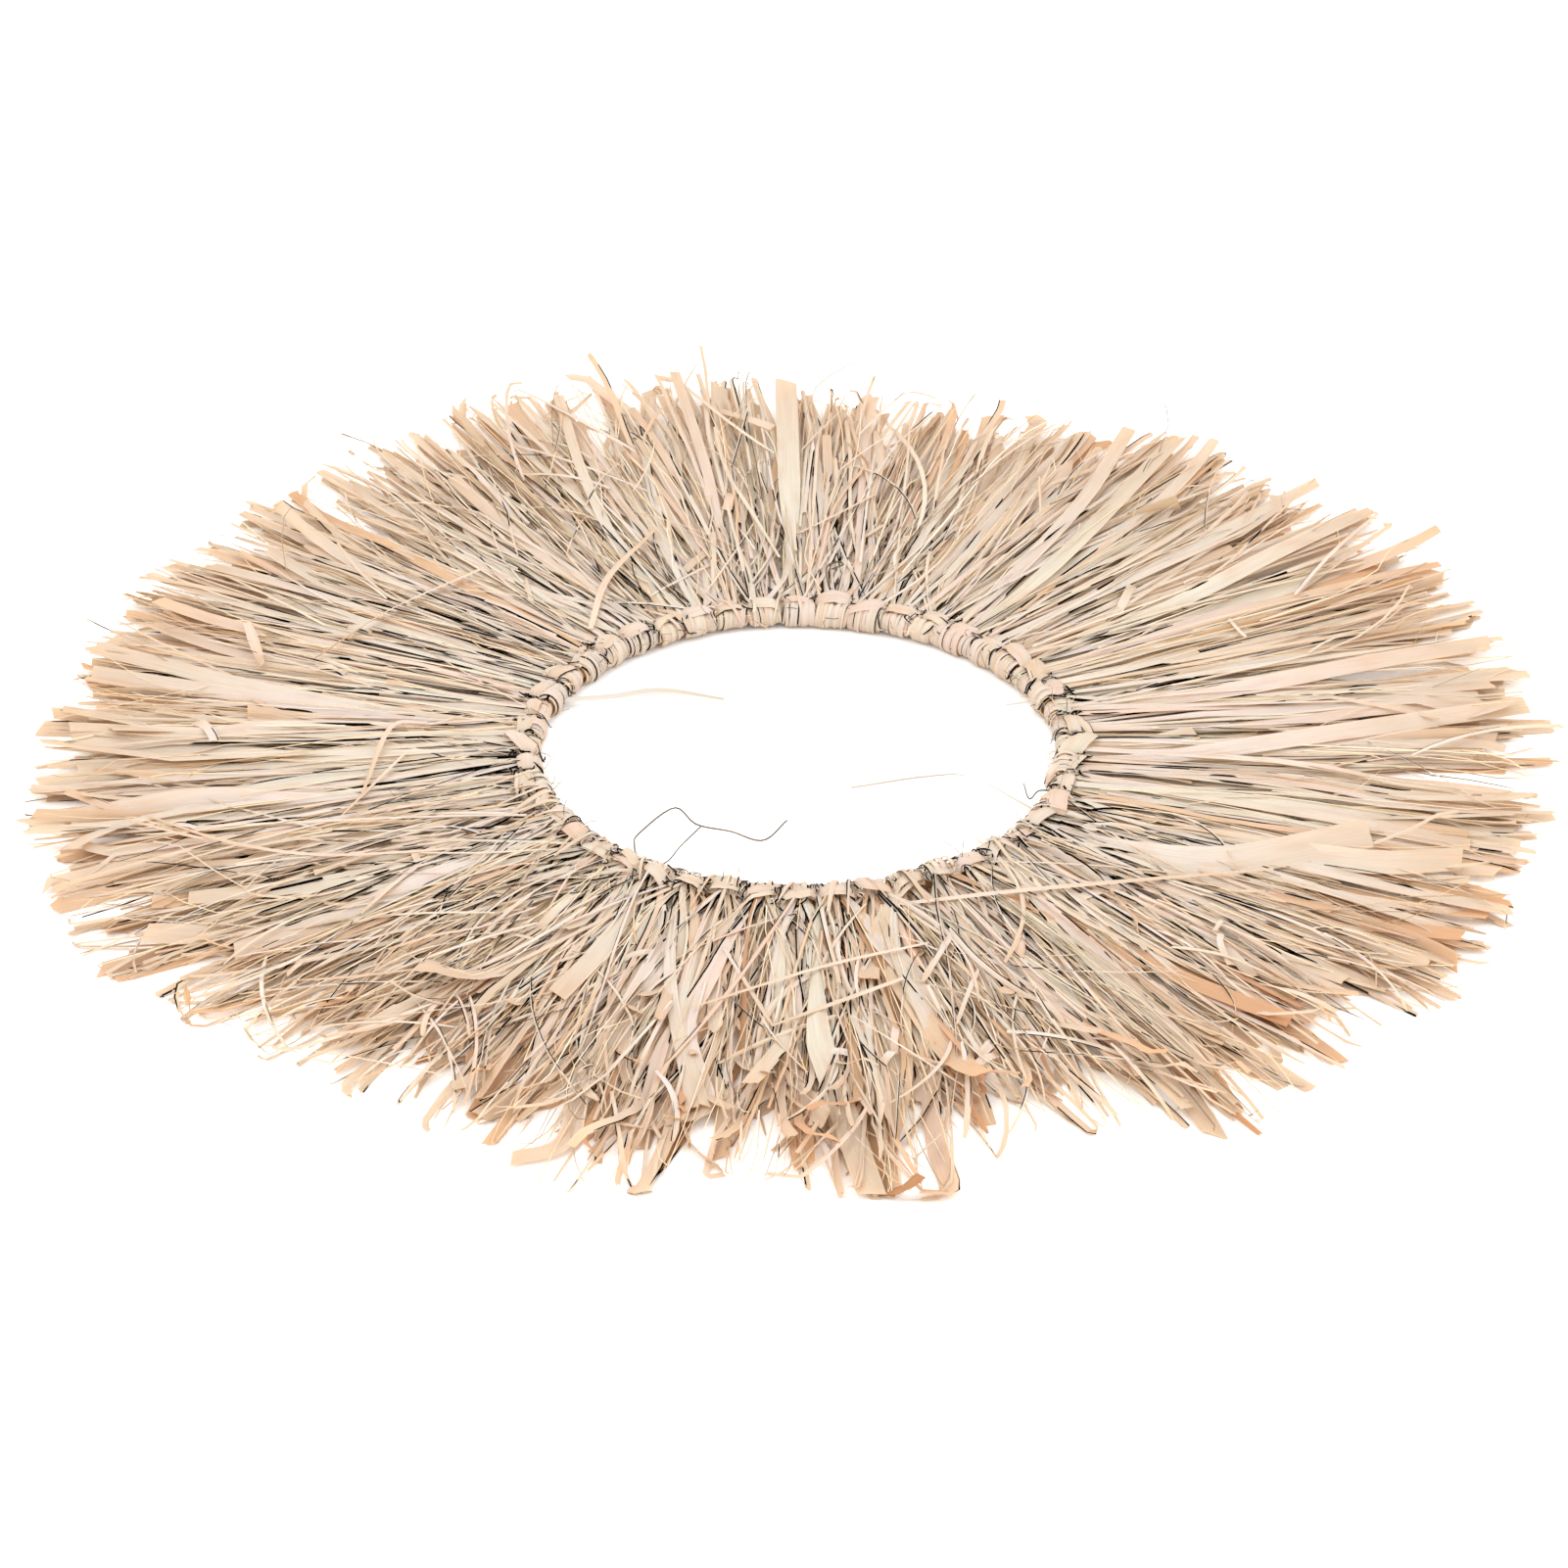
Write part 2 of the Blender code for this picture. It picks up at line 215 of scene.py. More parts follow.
# Stray strips in the open middle and across the fringe, as their width in mm, their place
# in the range of colours and the places they pass. A stray belongs to the bundle nearest
# to its first place.
MIDDLE_STRAYS = (
    (3.2, 0.4, ((157, 106, 5), (148, 90, 3), (136, 78, 2), (123, 56, 2))),
    (3.0, 0.3, ((335, 106, 5), (338, 97, 4), (348, 71, 3), (346, 53, 2), (315, 30, 2))),
    (1.4, 0.4, ((19, 107, 6), (21, 101, 7), (22, 91, 7))),
)
FRINGE_STRAYS = (
    (3.4, 0.5, ((134, 190, 11), (149, 197, 12), (162, 209, 11))),
    (4.6, 0.5, ((158, 246, 11), (165, 228, 11))),
    (3.0, 0.55, ((134, 124, 10), (122, 150, 12), (110, 177, 12))),
    (1.9, 0.4, ((289, 156, 10), (273, 168, 12), (258, 199, 11))),
    (2.6, 0.45, ((283, 179, 11), (275, 192, 12), (267, 208, 11))),
    (2.6, 0.45, ((285, 124, 9), (310, 146, 12), (333, 211, 11))),
    (2.8, 0.5, ((174, 152, 10), (177, 166, 12), (193, 180, 11))),
    (1.7, 0.5, ((183, 159, 11), (197, 191, 11))),
    (1.6, 0.55, ((211, 152, 10), (205, 206, 12), (199, 239, 12), (192, 266, 10))),
)
WIRES = (
    (0.8, ((233, 106, 6), (225, 93, 3), (221, 85, 2), (216, 62, 2), (231, 65, 3), (244, 62, 3),
            (257, 64, 3), (264, 46, 2))),
    (0.7, ((236, 106, 6), (236, 94, 3), (234, 81, 2), (232, 64, 2))),
    (0.7, ((343, 107, 7), (341, 102, 8), (338, 100, 7), (345, 94, 6))),
    (0.9, ((84, 124, 9), (85, 136, 12), (83, 138, 14), (82, 134, 15), (84, 133, 13))),
)
WIRE_TONE = (0.95, 0.2)          # nearly black, with hardly any painted shade line

# Photograph's view
PHOTO_SIDE = 1601                # pixels
HOOP_CENTRE_PIXEL = (815.5, 780.0)
PIXELS_PER_METRE = 2524.0        # at the hoop's centre, across the view
CAMERA_ELEVATION = math.radians(32.2)
CAMERA_DISTANCE = 3.6
SENSOR = 36.0                    # width in mm

# Sky and floor
SKY_STRENGTH = 1.64
FLOOR_HALF = 6.0                 # half its side
FLOOR_SINK = 0.1 * MM            # of the floor under the hanging's lowest face


def between(limits, share):
    """The value at a share of the way between two limits."""
    low, high = limits
    return low + (high - low) * share


def turned(points, angle):
    """Points turned about the vertical axis, all by one angle or each by its own."""
    cos = np.cos(angle)
    sin = np.sin(angle)
    x = points[..., 0] * cos - points[..., 1] * sin
    y = points[..., 0] * sin + points[..., 1] * cos
    return np.stack((x, y, points[..., 2]), axis=-1)


def smooth(share):
    """Smooth step from 0 to 1."""
    share = np.clip(share, 0.0, 1.0)
    return share * share * (3.0 - 2.0 * share)


def unit(vectors):
    """Vectors at length one."""
    return vectors / np.maximum(np.linalg.norm(vectors, axis=-1, keepdims=True), 1e-9)


def curve_through(places, stations):
    """A smooth curve through a few places, as evenly spaced shares of the way along it."""
    places = np.asarray(places, float)
    padded = np.vstack((2 * places[0] - places[1], places, 2 * places[-1] - places[-2]))
    spans = len(places) - 1
    along = np.linspace(0, spans, stations)
    span = np.minimum(along.astype(int), spans - 1)
    t = (along - span)[:, None]
    before, start, end, after = (padded[span + i] for i in range(4))
    return 0.5 * (2 * start + (end - before) * t + (2 * before - 5 * start + 4 * end - after) * t ** 2
                  + (3 * start - before - 3 * end + after) * t ** 3)


# Sections of a strip, as rings of (across, through, crease): across in half widths,
# through in thicknesses, and crease as the pleat whose height that point takes.
FOLDED = np.array(((-1, 0, 0), (0, 0.5, 1), (1, 0, 0), (0, -0.5, 1)), float)
PLEATED = np.array((
    (-1, 0, 0), (-0.5, 0.5, 1), (0, 0.5, 2), (0.5, 0.5, 3),
    (1, 0, 0), (0.5, -0.5, 3), (0, -0.5, 2), (-0.5, -0.5, 1),
), float)
ROUND = np.array(((-0.87, -0.5, 0), (0.87, -0.5, 0), (0, 1, 0)), float)
ARCHED = np.array((0.0, 0.75, 1.0, 0.75))
PLEATS = np.array((
    (0, 0.55, 1.0, 0.55), (0, 1.0, 0.25, 0.9), (0, 0.9, 0.1, -0.7), (0, 0.4, 0.8, 1.0), (0, 0.3, -0.5, 0.1),
))


def run_lengths(paths):
    """How far along its path each station lies."""
    steps = np.linalg.norm(np.diff(paths, axis=1), axis=-1)
    return np.concatenate((np.zeros((len(paths), 1)), np.cumsum(steps, axis=1)), axis=1)


def tube_faces(first, count, stations, corners):
    """Faces of closed tubes: the four-sided ones round them, and one at either end of each."""
    start = first + (np.arange(count) * stations * corners)[:, None, None]
    ring = (np.arange(stations - 1) * corners)[None, :, None]
    corner = np.arange(corners)[None, None, :]
    after = (corner + 1) % corners
    sides = np.stack(np.broadcast_arrays(
        start + ring + corner, start + ring + after,
        start + ring + corners + after, start + ring + corners + corner), axis=-1).reshape(-1, 4)
    end = start[:, 0, :] + np.arange(corners)[None, :]
    return sides, end[:, ::-1], end + (stations - 1) * corners


class Strips:
    """Gathers closed strips of raffia and makes one mesh of them."""

    def __init__(self, torn_width):
        self.torn_width = torn_width
        self.points = []
        self.faces = []
        self.kinds = []
        self.layers = {"grain": [], "tone": [], "edge": []}
        self.point_count = 0
        self.strip_count = 0

    def add(self, section, paths, sides, widths, creases, tones, kind,
            pleats=None, thickness=PLY, slants=None, torn_width=None):
        """Adds n strips of m stations: paths and sides (n, m, 3), widths and creases (n, m)."""
        n, m = paths.shape[:2]
        k = len(section)
        number = (self.strip_count + np.arange(n))[:, None, None]
        tangents = unit(np.gradient(paths, axis=1))
        sides = unit(sides - (sides * tangents).sum(-1, keepdims=True) * tangents)
        normals = np.cross(tangents, sides)
        across = widths[:, :, None] / 2 * section[:, 0]
        if section is ROUND:
            through = widths[:, :, None] / 2 * section[:, 1]
            edge = 1.0
        else:
            folds = np.broadcast_to(section[:, 2], (n, k))
            if pleats is not None:
                folds = np.take_along_axis(np.broadcast_to(pleats, (n, 4)), folds.astype(int), axis=1)
            through = thickness * section[:, 1] + creases[:, :, None] * folds[:, None, :]
            # Painted shade: one side of each strip, the one or the other in turn, carries a dark line
            # standing for the shadow in the gap beside it; edge is the distance from that side in line
            # widths
            shaded_side = 1.0 - 2.0 * (number % 2)
            share = NARROW_SHADE_SHARE if section is FOLDED else SHADE_LINE_SHARE
            line = np.minimum(torn_width or self.torn_width, widths * share)[:, :, None]
            edge = widths[:, :, None] / 2 * (1 - shaded_side * section[:, 0]) / line
        points = (paths[:, :, None, :] + sides[:, :, None, :] * across[..., None]
                  + normals[:, :, None, :] * through[..., None])
        if slants is not None:
            points[:, -1] += tangents[:, -1, None, :] * (across[:, -1] * slants[:, None])[..., None]
        heights = points[..., 2]
        heights += np.maximum(0.0, FLOOR_HEIGHT + FLOOR_GAP - heights.min(axis=2, keepdims=True))
        heights -= np.maximum(0.0, heights.max(axis=2, keepdims=True) - HIGHEST)
        self.points.append(points.reshape(-1, 3))
        for layer, pair in (
            ("grain", (run_lengths(paths)[:, :, None], across + number * GRAIN_APART)),
            ("tone", (tones[:, :1, None], tones[:, 1:, None])),
            ("edge", (edge, np.linspace(0, 1, m)[None, :, None])),
        ):
            both = [np.broadcast_to(values, (n, m, k)) for values in pair]
            self.layers[layer].append(np.stack(both, axis=-1).reshape(-1, 2))
        faces = tube_faces(self.point_count, n, m, k)
        self.faces.extend(faces)
        self.kinds.append(np.full(sum(len(part) for part in faces), kind))
        self.point_count += n * m * k
        self.strip_count += n

    def mesh(self, name, angle):
        """The gathered strips as one mesh, turned to their direction round the hoop."""
        points = turned(np.concatenate(self.points), angle)
        corners = np.concatenate([face.ravel() for face in self.faces])
        totals = np.concatenate([np.full(len(face), face.shape[1]) for face in self.faces])
        starts = np.concatenate(([0], np.cumsum(totals)[:-1]))
        mesh = bpy.data.meshes.new(name)
        mesh.vertices.add(len(points))
        mesh.vertices.foreach_set("co", points.astype(np.float32).ravel())
        mesh.loops.add(len(corners))
        mesh.loops.foreach_set("vertex_index", corners.astype(np.int32))
        mesh.polygons.add(len(totals))
        mesh.polygons.foreach_set("loop_start", starts.astype(np.int32))
        mesh.polygons.foreach_set("material_index", np.concatenate(self.kinds).astype(np.int32))
        for title, values in self.layers.items():
            layer = mesh.uv_layers.new(name=title)
            layer.uv.foreach_set("vector", np.concatenate(values)[corners].astype(np.float32).ravel())
        mesh.update(calc_edges=True)
        mesh.validate()
        mesh.shade_smooth()
        mesh.set_sharp_from_angle(angle=SHARP_FOLD)
        return mesh


def fringe_outline():
    """How far the solids' blades reach, in equal steps of direction round the hoop."""
    steps = len(BUNDLES) * STEPS_A_BUNDLE
    outline = np.zeros(steps)
    for name in BUNDLES:
        spots = np.array([vertex.co[:2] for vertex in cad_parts[name].data.vertices])
        distance = np.linalg.norm(spots, axis=1)
        tips = spots[distance > 2 * HOOP_RADIUS]
        step = np.round(np.arctan2(tips[:, 1], tips[:, 0]) / (2 * math.pi) * steps).astype(int) % steps
        np.maximum.at(outline, step, np.linalg.norm(tips, axis=1))
    known = np.flatnonzero(outline)
    outline = np.interp(np.arange(steps), known, outline[known], period=steps)
    return (np.roll(outline, 1) + 2 * outline + np.roll(outline, -1)) / 4


OUTLINE = fringe_outline()


def reach_at(angles):
    """The fringe's reach by direction, read between the outline's steps."""
    count = len(OUTLINE)
    places = np.asarray(angles) / (2 * math.pi) * count
    return np.interp(places, np.arange(count), OUTLINE, period=count)


def trait_at(trait, degrees):
    """One trait of the fringe in one direction, read between the zones."""
    column = TRAITS.index(trait) + 1
    values = [zone[column] for zone in ZONES]
    return float(np.interp(degrees, [zone[0] for zone in ZONES], values, period=360))


def look_towards(direction):
    """All the fringe's traits in one direction."""
    degrees = math.degrees(direction)
    return SimpleNamespace(**{trait: trait_at(trait, degrees) for trait in TRAITS})


def all_gaps():
    """The named gaps and the random ones, as direction, start and half width."""
    rng = np.random.default_rng(RANDOM_SEED)
    gaps = list(GAPS)
    place = 0.0
    while place < 360:
        ragged = trait_at("ragged", place)
        gaps.append((place, rng.uniform(262, 285) - 35 * ragged, rng.uniform(0.3, 0.7) + 0.4 * ragged))
        place += GAP_SPACING * rng.uniform(0.6, 1.4) * (1.3 - 0.7 * min(ragged, 1.0))
    return [(math.radians(place), start * MM, math.radians(half)) for place, start, half in gaps]


ALL_GAPS = all_gaps()


def part_at_gaps(paths, direction):
    """Pushes tails aside so that the gaps open between them."""
    tips = np.arctan2(paths[:, -1, 1], paths[:, -1, 0]) + direction
    distance = np.linalg.norm(paths[..., :2], axis=-1)
    turn = np.zeros(distance.shape)
    for place, start, half in ALL_GAPS:
        away = np.remainder(tips - place + math.pi, 2 * math.pi) - math.pi
        push = np.where(away < 0, -1.0, 1.0) * half * np.exp(-np.abs(away) / (GAP_SPREAD * half))
        turn += push[:, None] * smooth((distance - start) / GAP_OPENS_IN)
    paths[...] = turned(paths, turn)


def bend_after(paths, chosen, station, yaw, pitch):
    """Turns what lies beyond a station of the chosen paths about that station's point."""
    pivot = paths[chosen, station][:, None, :]
    beyond = paths[chosen, station:] - pivot
    level = np.linalg.norm(beyond[..., :2], axis=-1)
    beyond = turned(beyond, yaw[:, None]) * np.cos(pitch)[:, None, None]
    beyond[..., 2] += level * np.sin(pitch)[:, None]
    paths[chosen, station:] = pivot + beyond


def keep_within(paths, direction):
    """Holds strips above the floor, under the fringe's height and inside its reach."""
    paths[..., 2] = np.clip(paths[..., 2], FLOOR_HEIGHT + LOWEST_PATH, HIGHEST)
    distance = np.linalg.norm(paths[..., :2], axis=-1)
    angle = np.arctan2(paths[..., 1], paths[..., 0]) + direction
    limit = reach_at(angle) + FARTHEST
    paths[..., :2] *= np.minimum(1.0, limit / distance)[..., None]


def tail_paths(rng, direction, across, layers, shares, stations, leans, sway, look, starts=None):
    """Tails from under the crossing loop outwards, or from a share of the way, before they bend."""
    pinch = look.pinch
    count = len(across)
    start = HOOP_RADIUS + TAIL_START
    aside = across * (start * math.tan(HALF_PITCH) - NECK_CLEARANCE)
    root = np.stack((np.full(count, start), aside, between(NECK_HEIGHTS, layers)), axis=-1)
    tip_angle = across * HALF_PITCH * (1 + 0.5 * pinch) + leans
    tip_reach = reach_at(direction + tip_angle) * shares
    lift = between(FRINGE_HEIGHTS, layers)
    tip_height = lift * rng.uniform(*TIP_LIFTS, count) + rng.normal(0, TIP_UNEVENNESS, count)
    tip_height = np.maximum(tip_height, LOWEST_TIP)
    tip = np.stack((tip_reach * np.cos(tip_angle), tip_reach * np.sin(tip_angle), tip_height), axis=-1)
    s = np.repeat(1 - (1 - np.linspace(0, 1, stations)[None, :]) ** 1.25, count, axis=0)
    if starts is not None:
        s = starts[:, None] + (1 - starts[:, None]) * s
    paths = root[:, None, :] * (1 - s[..., None]) + tip[:, None, :] * s[..., None]
    hump = 4 * s * (1 - s)
    paths[..., 2] += hump * (lift - (root[:, 2] + tip_height) / 2)[:, None]
    bow = rng.normal(0, between(BOWS, look.ragged), count)
    swing = rng.normal(0, sway, count)
    phase = rng.uniform(0, 2 * math.pi, count)
    wave = np.sin(s * rng.uniform(6, 11, count)[:, None] + phase[:, None]) * np.minimum(1.0, 3 * s)
    paths[..., 1] += hump * bow[:, None] + wave * swing[:, None]
    paths[..., 1] -= pinch * aside[:, None] * np.exp(-s / PINCH_ENDS)
    paths[..., 2] += wave * swing[::-1, None] * 0.8
    return paths


def lock_leans(rng, lock, locks, aside):
    """How far each tail's tip stands aside: with its whole lock, and by itself."""
    together = rng.normal(0, math.radians(0.7 * aside), locks)
    return together[lock] + rng.normal(0, math.radians(aside), len(lock))


def kink_and_curl(rng, paths, kink_chance, curl_chance, strength):
    """Breaks some strips at a kink near their tips and curls the ends of others."""
    count, stations = paths.shape[:2]
    first = round(stations * 0.4)
    for station in range(first, stations - 1):
        chosen = np.flatnonzero(rng.random(count) < kink_chance / (stations - first))
        late = (station - first) / (stations - first)
        yaw = rng.normal(0, math.radians(12 + 34 * late ** 2) * strength, len(chosen))
        pitch = rng.normal(0, math.radians(4 + 12 * late) * strength, len(chosen))
        bend_after(paths, chosen, station, yaw, pitch)
    chosen = np.flatnonzero(rng.random(count) < curl_chance)
    yaw = rng.normal(0, math.radians(7) * strength, len(chosen))
    pitch = rng.normal(-math.radians(2), math.radians(7) * strength, len(chosen))
    for station in range(stations - 5, stations - 1):
        bend_after(paths, chosen, station, yaw, pitch)


def fringe_sides(rng, paths, roll, twist, on_edge_share=0.06, mean_roll=0.0):
    """The sideways direction of each strip at each station, rolled about its path."""
    count, stations = paths.shape[:2]
    tangents = unit(np.gradient(paths, axis=1))
    flat = unit(np.cross(np.array((0.0, 0.0, 1.0)), tangents))
    upward = np.cross(tangents, flat)
    start = rng.normal(mean_roll, roll, count)
    on_edge = rng.random(count) < on_edge_share
    start = np.where(on_edge, rng.choice((-1, 1), count) * rng.uniform(0.8, 1.5, count), start)
    change = rng.normal(0, twist, count)
    angle = start[:, None] + change[:, None] * np.linspace(0, 1, stations)[None, :]
    return flat * np.cos(angle)[..., None] + upward * np.sin(angle)[..., None]


def opening_widths(full, stations, neck, opens_by):
    """Widths of strips that are gathered at the hitch and open outwards."""
    s = np.linspace(0, 1, stations)[None, :]
    neck = np.minimum(neck, full)[:, None]
    return neck + (full[:, None] - neck) * smooth(s / opens_by[:, None])


def fold_heights(rng, full, widths, least, most):
    """How high a gathered strip's fold stands, from the width it hides."""
    hidden = np.sqrt(np.maximum((full[:, None] / 2) ** 2 - (widths / 2) ** 2, 0))
    height = np.minimum(hidden, most) + full[:, None] * rng.uniform(*least, len(full))[:, None]
    return height * rng.choice((-1, 1), len(full), p=(0.3, 0.7))[:, None]


def strip_tones(rng, count, shift=0.0, torn=0.4):
    """Two random numbers a strip: its place in the range of colours, and how much painted shade line it
    carries.
    """
    tone = np.clip(rng.beta(1.7, 2.5, count) + shift, 0.0, 1.0)
    return np.stack((tone, np.clip(rng.normal(torn, 0.3, count), 0.0, MOST_SHADE_LINED)), axis=-1)


def at_every(values, stations):
    """One value a strip, repeated at its stations."""
    return np.repeat(values[:, None], stations, axis=1)


def length_shares(rng, count, short_share, look):
    """Tail lengths: most end near the rim and the rest at any distance inside it."""
    near = look.reach + rng.normal(0, between(TIP_SCATTER, look.ragged), count)
    inner = between(SHORT_TAILS, rng.random(count) ** 1.3)
    return np.where(rng.random(count) < short_share, inner, near)


def spaced_across(rng, count):
    """Places across the bundle from -1 to 1, evenly spaced but for a little chance."""
    places = (np.arange(count) + 0.5 + rng.uniform(-0.32, 0.32, count)) / count
    return places * 2 - 1


def add_layers(strips, rng, direction, look):
    """The main tails: layers of strips side by side, gathered at the hitch."""
    stations = 12
    per_layer = round(4.8 + 1.8 * look.fine)
    across = np.concatenate([spaced_across(rng, per_layer) for _ in range(LAYERS)])
    count = len(across)
    layer = np.repeat(np.arange(LAYERS), per_layer)
    layers = (layer + rng.uniform(0.1, 0.9, count)) / LAYERS
    loose = look.loose
    curl = look.curl
    yellow = look.yellow
    shares = length_shares(rng, count, between((0.2, 0.58), look.ragged) * (0.5 + layers), look)
    leans = lock_leans(rng, 2 * layer + (across > 0), 2 * LAYERS, look.aside)
    paths = tail_paths(rng, direction, across, layers, shares, stations, leans, TAIL_SWAY * loose, look)
    kink_and_curl(rng, paths, 0.15 + 0.8 * curl, 0.12 + 0.5 * curl, 0.6 + 0.6 * curl)
    part_at_gaps(paths, direction)
    keep_within(paths, direction)
    is_broad = rng.random(count) < look.broad
    medium = rng.uniform(*MEDIUM_WIDTHS, count)
    full = np.where(is_broad, between(BROAD_WIDTHS, rng.random(count) ** 1.6), medium)
    pitch = 2 * (HOOP_RADIUS + TAIL_START) * math.tan(HALF_PITCH) / per_layer
    neck = pitch * rng.uniform(0.85, 1.2, count)
    widths = opening_widths(full, stations, neck, rng.uniform(0.3, 0.85, count))
    is_pointed = rng.random(count) < np.where(is_broad, 0.1, 0.3)
    widths[:, -1] *= np.where(is_pointed, 0.25, rng.uniform(0.8, 1.0, count))
    creases = fold_heights(rng, full, widths, (0.0, 0.04), 0.4 * MM)
    pleats = PLEATS[rng.integers(0, len(PLEATS), count)]
    sides = fringe_sides(rng, paths, 0.13 * loose, 0.2)
    # The tone follows how yellow the zone is, and lower layers are shifted further to darker, warmer tones:
    # painted shade under the upper layers
    tones = strip_tones(rng, count, 0.2 * yellow - 0.06 + 0.2 * yellow * (1 - layers), look.torn)
    strips.add(PLEATED, paths, sides, widths, creases, tones, STRIP, pleats,
               slants=rng.normal(0, TIP_SLANT, count))


def add_strands(strips, rng, direction, look):
    """Narrow folded strands in loose locks between the main tails."""
    stations = 11
    locks = round(3 + 6 * look.fine)
    lock = rng.integers(0, locks, round(10 + 26 * look.fine))
    count = len(lock)
    middles = rng.uniform(-1, 1, locks)
    lock_layers = rng.uniform(0.15, 1.1, locks)
    across = np.clip(middles[lock] + rng.normal(0, 0.12, count), -1.05, 1.05)
    layers = lock_layers[lock] + rng.normal(0, 0.06, count)
    shares = length_shares(rng, count, 0.4 + 0.2 * look.ragged, look)
    starts = np.where(rng.random(count) < 0.5, rng.uniform(0.05, 0.5, count), 0.0)
    leans = lock_leans(rng, lock, locks, 1.4 * look.aside)
    sway = TAIL_SWAY * look.loose
    paths = tail_paths(rng, direction, across, layers, shares, stations, leans, sway, look, starts)
    kink_and_curl(rng, paths, 0.3 + 0.6 * look.curl, 0.15 + 0.4 * look.curl, 0.8)
    part_at_gaps(paths, direction)
    keep_within(paths, direction)
    full = rng.uniform(*STRAND_WIDTHS, count)
    neck = full * rng.uniform(0.7, 0.95, count)
    widths = opening_widths(full, stations, neck, rng.uniform(0.3, 0.8, count))
    widths[:, -1] *= np.where(rng.random(count) < 0.3, 0.3, rng.uniform(0.75, 1.0, count))
    creases = fold_heights(rng, full, widths, (0.05, 0.15), 0.3 * MM)
    sides = fringe_sides(rng, paths, 0.3, 0.4, 0.05)
    # Painted shade: the narrow strands' sides are painted dark nearly all over in stretches, as thin lines
    # of shade between the tails
    tones = strip_tones(rng, count, 0.1 * look.yellow - 0.16, look.torn - 0.1)
    strips.add(FOLDED, paths, sides, widths, creases, tones, STRIP)


def add_fibres(strips, rng, direction, look):
    """Fine fibres that have split off the strips."""
    stations = 10
    count = round(8 + 22 * look.fine)
    across = rng.uniform(-1, 1, count)
    layers = rng.uniform(0.6, 1.2, count)
    shares = length_shares(rng, count, 0.5, look) + 0.02
    leans = rng.normal(0, math.radians(4.0), count)
    starts = rng.uniform(0.0, 0.6, count)
    sway = FIBRE_SWAY
    paths = tail_paths(rng, direction, across, layers, shares, stations, leans, sway, look, starts)
    kink_and_curl(rng, paths, 0.9, 0.4, 1.0)
    keep_within(paths, direction)
    widths = at_every(rng.uniform(*FIBRE_WIDTHS, count), stations)
    widths[:, -1] *= 0.4
    sides = fringe_sides(rng, paths, 0.5, 0.5)
    strips.add(ROUND, paths, sides, widths, widths * 0, strip_tones(rng, count, 0.0), FIBRE)


def bowed_paths(x, y, lengths, bows, headings, t):
    """Short bowed pieces in the level, each turned by its heading about its own middle."""
    along = lengths[:, None] * t
    aside = bows[:, None] * (1 - 4 * t ** 2)
    paths = turned(np.stack((along, aside, 0 * along), axis=-1), headings[:, None])
    return paths + np.stack((x, y, 0 * x), axis=-1)[:, None, :]


def lying_paths(rng, direction, stations, reach, heading, length, height):
    """Short pieces lying on the fringe, each turned by its heading from straight outwards."""
    count = len(reach)
    place = rng.uniform(-1, 1, count) * HALF_PITCH
    t = np.linspace(-0.5, 0.5, stations)
    bow = rng.normal(0, 0.05, count) * length
    paths = bowed_paths(reach * np.cos(place), reach * np.sin(place), length, bow, heading, t)
    rise = rng.normal(0, 0.05, count) * length
    sag = 1.5 * MM * (2 * t) ** 2
    paths[..., 2] = height[:, None] + rise[:, None] * t - sag
    keep_within(paths, direction)
    return paths


def add_bits(strips, rng, direction, look):
    """Short pieces broken off blades and caught on top of the fringe."""
    count = rng.poisson(0.2 + 1.6 * look.curl)
    if not count:
        return
    stations = 6
    heading = rng.choice((-1, 1), count) * (0.15 + 1.3 * rng.random(count) ** 1.4)
    reach = rng.uniform(150, 275, count) * MM
    length = rng.uniform(8, 32, count) * MM
    height = rng.uniform(8.8, 10.5, count) * MM
    paths = lying_paths(rng, direction, stations, reach, heading, length, height)
    full = rng.uniform(*BIT_WIDTHS, count)
    widths = at_every(full, stations) * rng.uniform(0.8, 1.0, (count, stations))
    creases = at_every(full * rng.normal(0, 0.07, count), stations)
    sides = fringe_sides(rng, paths, 0.15, 0.2, 0.0)
    strips.add(PLEATED, paths, sides, widths, creases, strip_tones(rng, count, -0.12), STRIP,
               ARCHED, slants=rng.normal(0, TIP_SLANT, count))


def add_crossers(strips, rng, direction, look):
    """Long narrow strands that lie aslant on top of the fringe."""
    ragged = look.ragged
    count = rng.poisson(1.0 + 11.0 * look.fine * ragged)
    if not count:
        return
    stations = 9
    reach = rng.uniform(135, 290, count) * MM
    heading = rng.normal(0, 0.28 + 0.14 * ragged, count)
    length = rng.uniform(25, 95, count) * MM
    height = rng.uniform(8.8, 11, count) * MM
    paths = lying_paths(rng, direction, stations, reach, heading, length, height)
    kink_and_curl(rng, paths, 0.3, 0.0, 0.6)
    widths = at_every(between(CROSSER_WIDTHS, rng.random(count) ** 2), stations)
    widths[:, (0, -1)] *= 0.6
    sides = fringe_sides(rng, paths, 0.2, 0.4, 0.0)
    # Painted shade: a dark line along one side, for the shadow that the strand casts beside it
    tones = strip_tones(rng, count, -0.15, 0.7)
    strips.add(FOLDED, paths, sides, widths, widths * 0.12, tones, STRIP, torn_width=FINE_SHADE_LINE)


def placed_curve(places, direction, stations):
    """A curve through places given as (degrees, mm, mm), in the bundle's own frame."""
    points = []
    for degrees, distance, height in places:
        angle = math.radians(degrees) - direction
        points.append((distance * MM * math.cos(angle), distance * MM * math.sin(angle), height * MM))
    return curve_through(points, stations)[None]


def starting_here(rows, direction):
    """The listed strips whose first place is in the bundle that points this way."""
    for row in rows:
        away = math.remainder(math.radians(row[-1][0][0]) - direction, 2 * math.pi)
        if -HALF_PITCH <= away < HALF_PITCH:
            yield row


